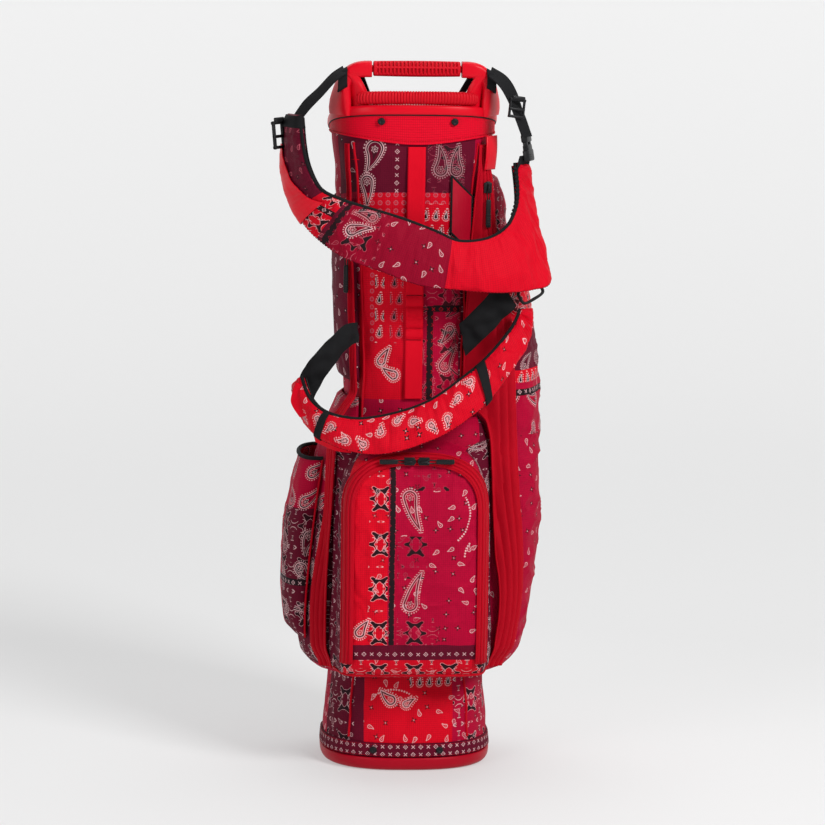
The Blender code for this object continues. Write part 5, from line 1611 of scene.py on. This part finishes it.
@effect("bandana print", "colour")
def bandana(spot: VECTOR, ground: COLOUR, thread: COLOUR, motifs: VECTOR, small: VECTOR):
    """The scarf print: a ground with outlined paisleys, drops, rings, seeds, diamonds and scrolls."""
    paisleys, drops, rings = split(motifs)
    seeds, diamonds, scrolls = split(small)

    # large paisleys: an outline, a fainter line inside it, a row of beads and a flower in the head
    home = use(scattered, spot, pitch=0.047, jitter=0.35, twist=math.tau)[0]
    local = home + (0.0, 0.006, 0.0)
    drop = use(curled_drop, local, radius=0.0082, length=0.024, curl=0.011)
    whole = inside(calc("LENGTH", home), 0.019)
    pale = [paisley_lines(local, drop, 0.001, -0.0024, 0.0006, 0.7, 0.0036, 0.0024, 0.001) * paisleys * whole]
    dark = [most(line(drop[0], -0.0012, 0.0016), inside(drop[0], -0.0058)) * (paisleys * whole)]

    # drops in rows: a dotted outline round a black core
    local = use(rowed, spot, pitch=(0.0125, 0.0205, 1.0), offset=0.5)[0] + (0.0, 0.0032, 0.0)
    far, _, phase = use(curled_drop, local, radius=0.0034, length=0.0095, curl=0.0018)
    dots = ranged(calc("SINE", phase), -0.1, 0.3)
    pale.append(most(line(far, 0.0011, 0.0012) * dots, line(far, -0.0012, 0.0008)) * drops)
    dark.append(inside(far, -0.0002) * drops)

    # rings in rows
    reach = calc("LENGTH", use(rowed, spot, pitch=(0.0098, 0.0098, 1.0), offset=0.0)[0])
    pale.append(most(line(reach, 0.0024, 0.001), inside(reach, 0.0006)) * rings)

    # small scattered seeds: outlined drops and four-petalled crosses
    home, pick, chance = use(scattered, spot, pitch=0.0175, jitter=0.75, twist=math.tau)
    far = use(curled_drop, home + (0.0, 0.0016, 0.0), radius=0.0022, length=0.0058, curl=0.002)[0]
    reach = calc("LENGTH", home)
    x, y, _ = split(home)
    petals = calc("MULTIPLY_ADD", calc("COSINE", calc("ARCTAN2", x, y) * 4.0), 0.0017, 0.0022)
    pick = ranged(pick, 0.55, 0.56)
    few = ranged(chance, 0.22, 0.23) * seeds
    outlined = most(line(far, 0.0, 0.0009), inside(far, -0.0017)) * (1.0 - pick)
    pale.append(most(outlined, inside(reach, 0.0008) * pick) * few)
    dark.append(inside(reach - petals) * pick * few)

    # diamonds and crosses for borders, every other one of each
    pitch = (0.0096, 0.0096, 1.0)
    x, y, _ = split(calc("ABSOLUTE", use(rowed, spot, pitch=pitch, offset=0.0)[0]))
    rhomb = x + y
    column, row, _ = split(calc("FLOOR", spot / pitch))
    turns = calc("FLOORED_MODULO", column + row, 2.0)
    cut = ranged(calc("ABSOLUTE", x - y), 0.0004, 0.0008, 1.0, 0.0) * inside(rhomb, 0.004)
    gem = most(line(rhomb, 0.0026, 0.0008), inside(rhomb, 0.0007))
    pale.append((cut * turns + gem * (1.0 - turns)) * diamonds)

    # scrolls: contour lines of a mirrored slow noise, which fold into matching curls and leaves
    home = use(rowed, spot, pitch=(0.044, 0.056, 1.0), offset=0.0)[0]
    fold = calc("ABSOLUTE", home) + (0.31, 0.17, 0.0)
    wander = calc("ABSOLUTE", calc("FRACT", cloudy(fold, 58.0, 0.0) * 5.0) - 0.5)
    leaf = cloudy(fold, 96.0, 0.0)
    pale.append(ranged(wander, 0.045, 0.075, 1.0, 0.0) * ranged(leaf, 0.44, 0.48) * scrolls)
    pale.append(line(leaf, 0.585, 0.016) * scrolls)
    dark.append(ranged(leaf, 0.6, 0.61) * scrolls)

    colour = mixed(calc("MINIMUM", most(*dark), 1.0), ground, INK)
    return (mixed(calc("MINIMUM", most(*pale), 1.0) * 0.85, colour, thread),)


# ================================================================ finishes
def new_finish(name, roughness, metallic=0.0, gloss=0.06):
    finish = bpy.data.materials.new(name)
    finish.use_nodes = True
    surface = finish.node_tree.nodes["Principled BSDF"]
    surface.inputs["Roughness"].default_value = roughness
    surface.inputs["Metallic"].default_value = metallic
    surface.inputs["Specular IOR Level"].default_value = gloss
    return finish, surface.inputs


def cloth_place(finish):
    made = finish.node_tree.nodes.new("ShaderNodeUVMap")
    made.uv_map = "UVMap"
    return Field(made.outputs[0])


def object_place(finish):
    return Field(finish.node_tree.nodes.new("ShaderNodeTexCoord").outputs["Object"])


def raised(surface, height, strength, depth):
    bump = height.tree.nodes.new("ShaderNodeBump")
    bump.inputs["Strength"].default_value = strength
    bump.inputs["Distance"].default_value = depth
    feed(bump.inputs["Height"], height)
    feed(surface["Normal"], Field(bump.outputs[0]))


# amounts of each motif: (paisleys, drops, rings), (seeds, diamonds, scrolls)
PAISLEYS = ((1.0, 0.0, 0.0), (0.0, 0.0, 0.0))
PAISLEYS_IN_SCROLLS = ((1.0, 0.0, 0.0), (0.0, 0.0, 0.9))
DROPS = ((0.0, 1.0, 0.0), (0.0, 0.0, 0.0))
RINGS = ((0.0, 0.0, 1.0), (0.0, 0.0, 0.0))
SEEDS = ((0.0, 0.0, 0.0), (1.0, 0.0, 0.0))
SPARSE = ((0.0, 0.0, 0.0), (0.8, 0.0, 0.0))
DIAMONDS = ((0.0, 0.0, 0.0), (0.0, 1.0, 0.0))
SCROLLS = ((0.0, 0.0, 0.0), (0.6, 0.0, 1.0))
BARE = ((0.0, 0.0, 0.0), (0.0, 0.0, 0.0))
WINE_LINE = (0.3, 0.045, 0.075)
DEEP_RED = (0.27, 0.001, 0.018)
ROSE_LINE = (0.55, 0.1, 0.14)
WOVEN_SHADE, BLOTCH_DARK = (0.03, 0.002, 0.006), (0.08, 0.001, 0.01)


def printed(name, ground, line_colour, style, patches=(), folded=False, placed=(), arcs=(), roughness=0.62):
    """Printed ripstop: a base print, then patches of other grounds and motifs sewn or printed over it.

    Each patch is (low u, low v, high u, high v, ground, line colour, style). Each placed paisley is
    (u, v, turn in degrees, radius, length, curl, strength), and each arc of dots is (u, v, radius, from, to).
    """
    finish, surface = new_finish(name, roughness)
    spot = cloth_place(finish)
    if folded:
        x, y, _ = split(spot)
        spot = vector_of(calc("ABSOLUTE", x), y)
    print_now = [ground, line_colour, *style]
    for low_u, low_v, high_u, high_v, patch_ground, patch_line, patch_style in patches:
        mask = use(cloth_patch, spot, low=(low_u, low_v, -1.0), high=(high_u, high_v, 1.0))[0]
        over = (patch_ground, patch_line, *patch_style)
        print_now = [mixed(mask, one, two) for one, two in zip(print_now, over)]
    base, thread, motifs, small = print_now
    colour = use(bandana, spot, ground=base, thread=thread, motifs=motifs, small=small)[0]
    colour = with_placed(spot, colour, placed, arcs)
    height, rib = use(ripstop_weave, spot)
    colour = mixed(rib * 0.34, colour, WOVEN_SHADE)
    # broad random blotches darken the print's colour by up to 16%
    colour = mixed(ranged(cloudy(spot, 9.0, 3.0), 0.35, 0.75, 0.0, 0.16), colour, BLOTCH_DARK)
    feed(surface["Base Color"], colour)
    crease = use(slack_cloth, object_place(finish))[0]
    raised(surface, calc("MULTIPLY_ADD", height, 0.035, crease), 0.75, 0.006)
    return finish


def with_placed(spot, colour, placed, arcs):
    """A print's own large motifs, over its colour."""
    pale, dark = [], []
    for u, v, turn, radius, length, curl, strength in placed:
        one, two = use(placed_paisley, spot, place=(u, v, 0.0), turn=math.radians(turn), radius=radius,
                       length=length, curl=curl)
        pale.append(one * strength)
        dark.append(two * (0.3 + 0.6 * strength))
    for u, v, radius, start, end in arcs:
        pale.append(use(dotted_arc, spot, place=(u, v, 0.0), radius=radius,
                        middle=math.radians(start + end) / 2, half=math.radians(end - start) / 2)[0])
    if dark:
        colour = mixed(calc("MINIMUM", most(*dark), 1.0), colour, INK)
    if pale:
        colour = mixed(calc("MINIMUM", most(*pale), 0.88), colour, CHALK)
    return colour


def woven_finish(name, colour, roughness, dip=0.45, weave=tape_weave, shade=0.35):
    finish, surface = new_finish(name, roughness)
    height, low = use(weave, cloth_place(finish))
    # painted shade: with the tape weave, the twill's low grooves are drawn darker; with the ripstop weave,
    # this is the darker tone of its heavier threads
    feed(surface["Base Color"], mixed(low * dip, colour, tuple(part * shade for part in colour)))
    raised(surface, height, 0.5, 0.0005)
    return finish


def moulded_finish(name, colour, roughness, metallic=0.0, grain=0.12):
    finish, surface = new_finish(name, roughness, metallic, 0.13)
    gloss, grains = use(moulded_wear, object_place(finish))
    feed(surface["Base Color"], colour)
    feed(surface["Roughness"], gloss + (roughness - 0.11))
    raised(surface, grains, grain, 0.0003)
    return finish


def satin_finish(name, colour, roughness):
    finish, surface = new_finish(name, roughness, gloss=0.2)
    feed(surface["Base Color"], colour)
    raised(surface, cloudy(cloth_place(finish) * (1.0, 0.35, 1.0), 150.0, 3.0), 0.4, 0.0012)
    return finish


def mesh_finish(name):
    """Black spacer mesh: rows of small holes."""
    finish, surface = new_finish(name, 0.85, gloss=0.2)
    home = use(rowed, cloth_place(finish), pitch=(0.0028, 0.0024, 1.0), offset=0.5)[0]
    hole = inside(calc("LENGTH", home), 0.0008)
    feed(surface["Base Color"], mixed(hole, (0.022, 0.022, 0.023), (0.002, 0.002, 0.002)))
    raised(surface, 1.0 - hole, 0.8, 0.0006)
    return finish


def make_finishes():
    body = (
        (-0.115, 0.715, -0.074, 0.84, BURGUNDY, CHALK, SEEDS),
        (-0.074, 0.713, 0.076, 0.84, BURGUNDY, CHALK, BARE),
        (-0.03, 0.713, -0.0192, 0.84, BURGUNDY, CHALK, DIAMONDS),
        (0.014, 0.713, 0.062, 0.84, BURGUNDY, WINE_LINE, PAISLEYS_IN_SCROLLS),
        (-0.074, 0.6615, -0.01, 0.713, BRIGHT_RED, ROSE_LINE, RINGS),
        (0.01, 0.64, 0.062, 0.713, BRIGHT_RED, CHALK, DROPS),
        (0.01, 0.7, 0.062, 0.713, BRIGHT_RED, ROSE_LINE, RINGS),
        (-0.115, 0.46, -0.074, 0.713, CRIMSON, CHALK, SEEDS),
        (-0.074, 0.46, -0.01, 0.6615, BRIGHT_RED, CHALK, BARE),
        (-0.06, 0.528, -0.05, 0.6615, BRIGHT_RED, ROSE_LINE, RINGS),
        (-0.05, 0.528, -0.0375, 0.6615, BRIGHT_RED, CHALK, DROPS),
        (-0.03, 0.528, -0.014, 0.6615, BRIGHT_RED, ROSE_LINE, DROPS),
        (0.01, 0.46, 0.062, 0.64, CRIMSON, ROSE_LINE, PAISLEYS_IN_SCROLLS),
        (0.016, 0.46, 0.024, 0.575, INK, WEB_RED, DIAMONDS),
        (0.024, 0.568, 0.062, 0.576, INK, WEB_RED, DIAMONDS),
        (0.062, 0.46, 0.115, 0.713, BURGUNDY, CHALK, SCROLLS),
        (-0.13, 0.03, -0.058, 0.122, BURGUNDY, CHALK, SCROLLS),
        (-0.058, 0.03, 0.056, 0.122, BRIGHT_RED, CHALK, SPARSE),
        (0.0, 0.1025, 0.056, 0.122, BRIGHT_RED, CHALK, DROPS),
        (-0.072, 0.03, -0.058, 0.122, BURGUNDY, CHALK, BARE),
        (0.056, 0.03, 0.13, 0.122, CRIMSON, CHALK, SCROLLS),
    )
    body_motifs = (
        (-0.052, 0.766, 176.0, 0.0115, 0.027, 0.013, 1.0), (-0.062, 0.726, 160.0, 0.009, 0.028, 0.01, 1.0),
        (0.03, 0.742, 15.0, 0.0085, 0.028, -0.01, 0.35), (0.05, 0.742, -15.0, 0.0085, 0.028, 0.01, 0.35),
        (-0.041, 0.507, 20.0, 0.0062, 0.019, 0.004, 1.0), (-0.025, 0.49, -70.0, 0.0062, 0.017, 0.004, 1.0),
        (0.04, 0.502, 20.0, 0.0085, 0.028, 0.009, 0.5), (0.046, 0.545, 200.0, 0.0065, 0.02, 0.006, 0.5),
        (-0.024, 0.089, -60.0, 0.007, 0.017, 0.004, 1.0), (-0.004, 0.084, 40.0, 0.005, 0.013, 0.004, 0.8),
    )
    body_arcs = ((-0.02, 0.062, 0.04, 60.0, 130.0),)
    ball = (
        (-0.2, 0.1, -0.086, 0.5, BURGUNDY, CHALK, SCROLLS),
        (-0.086, 0.18, -0.034, 0.41, BRIGHT_RED, CHALK, BARE),
        (-0.058, 0.18, -0.034, 0.41, BRIGHT_RED, CHALK, SCROLLS),
        (-0.0325, 0.18, -0.0255, 0.41, INK, CRIMSON, DIAMONDS),
        (-0.022, 0.265, 0.014, 0.318, CRIMSON, WINE_LINE, SCROLLS),
        (-0.022, 0.18, 0.03, 0.215, CRIMSON, ROSE_LINE, SCROLLS),
        (-0.002, 0.374, 0.04, 0.41, CRIMSON, WINE_LINE, SCROLLS),
        (-0.09, 0.16, 0.09, 0.18, BURGUNDY, CHALK, BARE),
        (-0.09, 0.1632, 0.09, 0.1728, BURGUNDY, CHALK, DIAMONDS),
        (-0.09, 0.112, 0.09, 0.16, BRIGHT_RED, CHALK, SCROLLS),
        (0.086, 0.1, 0.2, 0.5, BURGUNDY, CHALK, PAISLEYS_IN_SCROLLS),
    )
    ball_motifs = (
        (-0.008, 0.366, 176.0, 0.0088, 0.042, -0.011, 0.6), (-0.006, 0.232, 4.0, 0.0088, 0.042, 0.011, 0.6),
        (-0.068, 0.196, 20.0, 0.0068, 0.019, 0.005, 1.0),
    )
    ball_arcs = ((0.024, 0.345, 0.042, -50.0, 30.0), (0.088, 0.292, 0.028, 140.0, 215.0))
    flank = (
        (-0.2, 0.64, 0.2, 0.8, CRIMSON, CHALK, SCROLLS),
        (-0.2, 0.56, 0.2, 0.64, BRIGHT_RED, CHALK, PAISLEYS_IN_SCROLLS),
        (-0.2, 0.512, 0.2, 0.56, BURGUNDY, CHALK, PAISLEYS),
        (-0.2, 0.496, 0.2, 0.512, BRIGHT_RED, CHALK, DROPS),
        (-0.2, 0.48, 0.2, 0.488, INK, CHALK, DIAMONDS),
        (-0.2, 0.43, 0.2, 0.48, CRIMSON, CHALK, PAISLEYS),
    )
    left = (
        (-0.3, 0.33, 0.3, 0.5, CRIMSON, CHALK, PAISLEYS),
        (-0.3, 0.13, -0.03, 0.33, BURGUNDY, CHALK, PAISLEYS_IN_SCROLLS),
        (-0.3, 0.232, 0.3, 0.24, INK, CHALK, DIAMONDS),
    )
    upper = (
        (-1.0, 0.115, 1.0, 0.155, BRIGHT_RED, CHALK, SCROLLS),
        (0.02, 0.115, 0.028, 0.155, INK, CHALK, DIAMONDS),
        (-1.0, 0.16, 1.0, 0.168, INK, CRIMSON, DIAMONDS),
        (-1.0, 0.168, 1.0, 0.225, DEEP_RED, ROSE_LINE, SCROLLS),
        (-1.0, 0.225, 1.0, 0.31, DEEP_RED, CHALK, SPARSE),
        (-1.0, 0.31, 1.0, 1.0, BRIGHT_RED, CHALK, BARE),
    )
    upper_motifs = (
        (0.033, 0.186, -40.0, 0.0078, 0.022, 0.008, 0.8), (0.012, 0.202, 200.0, 0.006, 0.024, -0.008, 0.4),
    )
    lower_motifs = tuple(
        (0.024 + 0.011 * math.sin(5.0 * k), 0.05 + 0.021 * k, 50.0 * k, 0.004, 0.0085, 0.0045, 0.8)
        for k in range(13)
    )
    flank_arcs = ((0.01, 0.33, 0.06, 100.0, 200.0), (-0.06, 0.27, 0.05, -60.0, 60.0))
    return {
        "body_print": printed("body print", CRIMSON, CHALK, SEEDS, body, placed=body_motifs, arcs=body_arcs),
        "ball_print": printed(
            "ball pocket print", CRIMSON, CHALK, SPARSE, ball, placed=ball_motifs, arcs=ball_arcs),
        "flank_print": printed("flank print", CRIMSON, CHALK, SPARSE, flank, arcs=flank_arcs),
        "left_print": printed("left pocket print", CRIMSON, CHALK, SCROLLS, left),
        "burgundy_cloth": printed("burgundy print", BURGUNDY, CHALK, SEEDS),
        "binding_print": printed("binding print", BURGUNDY, CHALK, DIAMONDS),
        "upper_pad_print": printed(
            "upper pad print", BURGUNDY, ROSE_LINE, SEEDS, upper, True, upper_motifs, roughness=0.5),
        "lower_pad_print": printed(
            "lower pad print", BRIGHT_RED, CHALK, SEEDS, (), True, lower_motifs, roughness=0.5),
        "cuff_ripstop": woven_finish("cuff ripstop", (0.66, 0.0015, 0.018), 0.5, 0.8, ripstop_weave, 0.45),
        "moulded": moulded_finish("moulded red", MOULDED_RED, 0.36),
        # painted shade: the base's moulding is a darker copy of the moulded red, standing in for the shade
        # low on the bag
        "moulded_red_painted_shade": moulded_finish("moulded red with painted shade", (0.36, 0.0008, 0.012), 0.4),
        "soft_grip": moulded_finish("ribbed grip", (0.5, 0.0015, 0.01), 0.5, grain=0.3),
        "black_moulded": moulded_finish("moulded black", BLACK, 0.36),
        "black_rubber": moulded_finish("black rubber", BLACK, 0.66, grain=0.4),
        "thread_red": woven_finish("red thread", (0.36, 0.004, 0.01), 0.7),
        "thread_dark": woven_finish("dark thread", (0.16, 0.004, 0.01), 0.7),
        "red_cord": woven_finish("red cord", (0.48, 0.0015, 0.012), 0.55, 0.3),
        "zip_tape": woven_finish("zip tape", (0.46, 0.0015, 0.012), 0.6, 0.5),
        "red_web": woven_finish("red webbing", (0.66, 0.0015, 0.014), 0.6, 0.35),
        "black_web": woven_finish("black webbing", BLACK, 0.7, 0.5),
        "black_rubber_cord": woven_finish("black piping", BLACK, 0.7, 0.5),
        "black_lining": woven_finish("black lining", BLACK, 0.8, 0.5, ripstop_weave, 0.45),
        "red_satin": satin_finish("red satin", BRIGHT_RED, 0.38),
        "dark_satin": satin_finish("dark satin", (0.36, 0.0012, 0.016), 0.45),
        "spacer_mesh": mesh_finish("spacer mesh"),
        "aluminium": moulded_finish("anodised tube", (0.18, 0.18, 0.19), 0.36, 1.0, 0.05),
        "steel": moulded_finish("steel wire", (0.3, 0.3, 0.31), 0.3, 1.0, 0.05),
        "glass_fibre": moulded_finish("glass fibre", (0.08, 0.08, 0.08), 0.5),
    }


def paper_finish():
    """The studio's paper: it glows a little more far off and up its back wall than round the bag."""
    finish, surface = new_finish("studio paper", 0.9)
    feed(surface["Base Color"], (0.42, 0.42, 0.42))
    far = ranged(calc("LENGTH", object_place(finish)), 0.9, 5.2)
    feed(surface["Emission Color"], mixed(far, (0.375, 0.375, 0.375), (0.66, 0.66, 0.66)))
    surface["Emission Strength"].default_value = 1.0
    return finish


# ================================================================ stage
CAMERA_DISTANCE, CAMERA_HEIGHT = 5.0, 1.154
CAMERA_DOWN, CAMERA_ROUND, CAMERA_ROLL = math.radians(8.12), math.radians(-4.0), math.radians(0.75)
FOCAL_LENGTH, SENSOR_WIDTH, CAMERA_SHIFT = 174.32727, 36.0, 0.0054545


def soft_light(name, place, target, width, power):
    lamp = bpy.data.lights.new(name, "AREA")
    lamp.shape = "SQUARE"
    lamp.size = width
    lamp.energy = power
    light = bpy.data.objects.new(name, lamp)
    light.location = place
    light.rotation_euler = (Vector(target) - Vector(place)).to_track_quat("-Z", "Y").to_euler()
    bpy.context.scene.collection.objects.link(light)
    return light


def make_stage():
    half_width, front, turn_start, radius, wall = 30.0, -30.0, 0.55, 3.0, 30.0

    def sweep(u, v):
        """The paper: flat, then turned up in a quarter circle behind the bag."""
        x = half_width * (2.0 * u - 1.0)
        if v < turn_start:
            return Vector((x, front + 60.0 * v, 0.0))
        turn = min((v - turn_start) / 0.25, 1.0) * math.pi / 2
        rise = wall * max(0.0, v - turn_start - 0.25)
        return Vector((x, radius * (1.0 + math.sin(turn)), radius * (1.0 - math.cos(turn)) + rise))

    bm = woven(4, 60, sweep)
    mesh = bpy.data.meshes.new("studio_floor")
    bm.to_mesh(mesh)
    bm.free()
    mesh.shade_smooth()
    floor = bpy.data.objects.new("studio_floor", mesh)
    bpy.context.scene.collection.objects.link(floor)
    mesh.materials.append(paper_finish())

    world = bpy.data.worlds.new("studio")
    bpy.context.scene.world = world
    world.use_nodes = True
    sky = world.node_tree.nodes["Background"]
    sky.inputs["Color"].default_value = (0.86, 0.87, 0.88, 1.0)
    sky.inputs["Strength"].default_value = 0.2
    key = soft_light("key_light", (1.9, -2.7, 2.6), (0.0, 0.0, 0.45), 1.1, 130.0)
    fill = soft_light("fill_light", (-2.4, -2.6, 1.3), (0.0, 0.0, 0.45), 1.2, 30.0)
    top = soft_light("top_light", (0.1, 0.4, 3.2), (0.0, 0.0, 0.5), 1.8, 36.0)
    lens = bpy.data.cameras.new("camera")
    camera = bpy.data.objects.new("camera", lens)
    bpy.context.scene.collection.objects.link(camera)
    bpy.context.scene.camera = camera
    orbit = Matrix.Rotation(CAMERA_ROUND, 4, "Z") @ Matrix.Translation((0.0, -CAMERA_DISTANCE, CAMERA_HEIGHT))
    tilt = Matrix.Rotation(math.pi / 2 - CAMERA_DOWN, 4, "X") @ Matrix.Rotation(CAMERA_ROLL, 4, "Z")
    camera.matrix_world = orbit @ tilt
    lens.lens = FOCAL_LENGTH
    lens.sensor_width = SENSOR_WIDTH
    lens.shift_x = CAMERA_SHIFT
    lens.clip_start, lens.clip_end = 0.1, 40.0
    view = bpy.context.scene.view_settings
    view.view_transform = "Standard"
    view.look = "None"
    view.exposure = 0.0
    view.gamma = 1.0


# ================================================================ everything together
def main():
    FINISHES.update(make_finishes())
    for make in (
        make_base, make_body, make_collar, make_rivets, make_handle, make_divider, make_pockets, make_zips,
        make_sliders, make_trim,
    ):
        make()
    for label in PADS:
        make_pad(label)
    for make in (make_pad_trim, make_webs, make_hardware, make_stand, make_stage):
        make()


main()
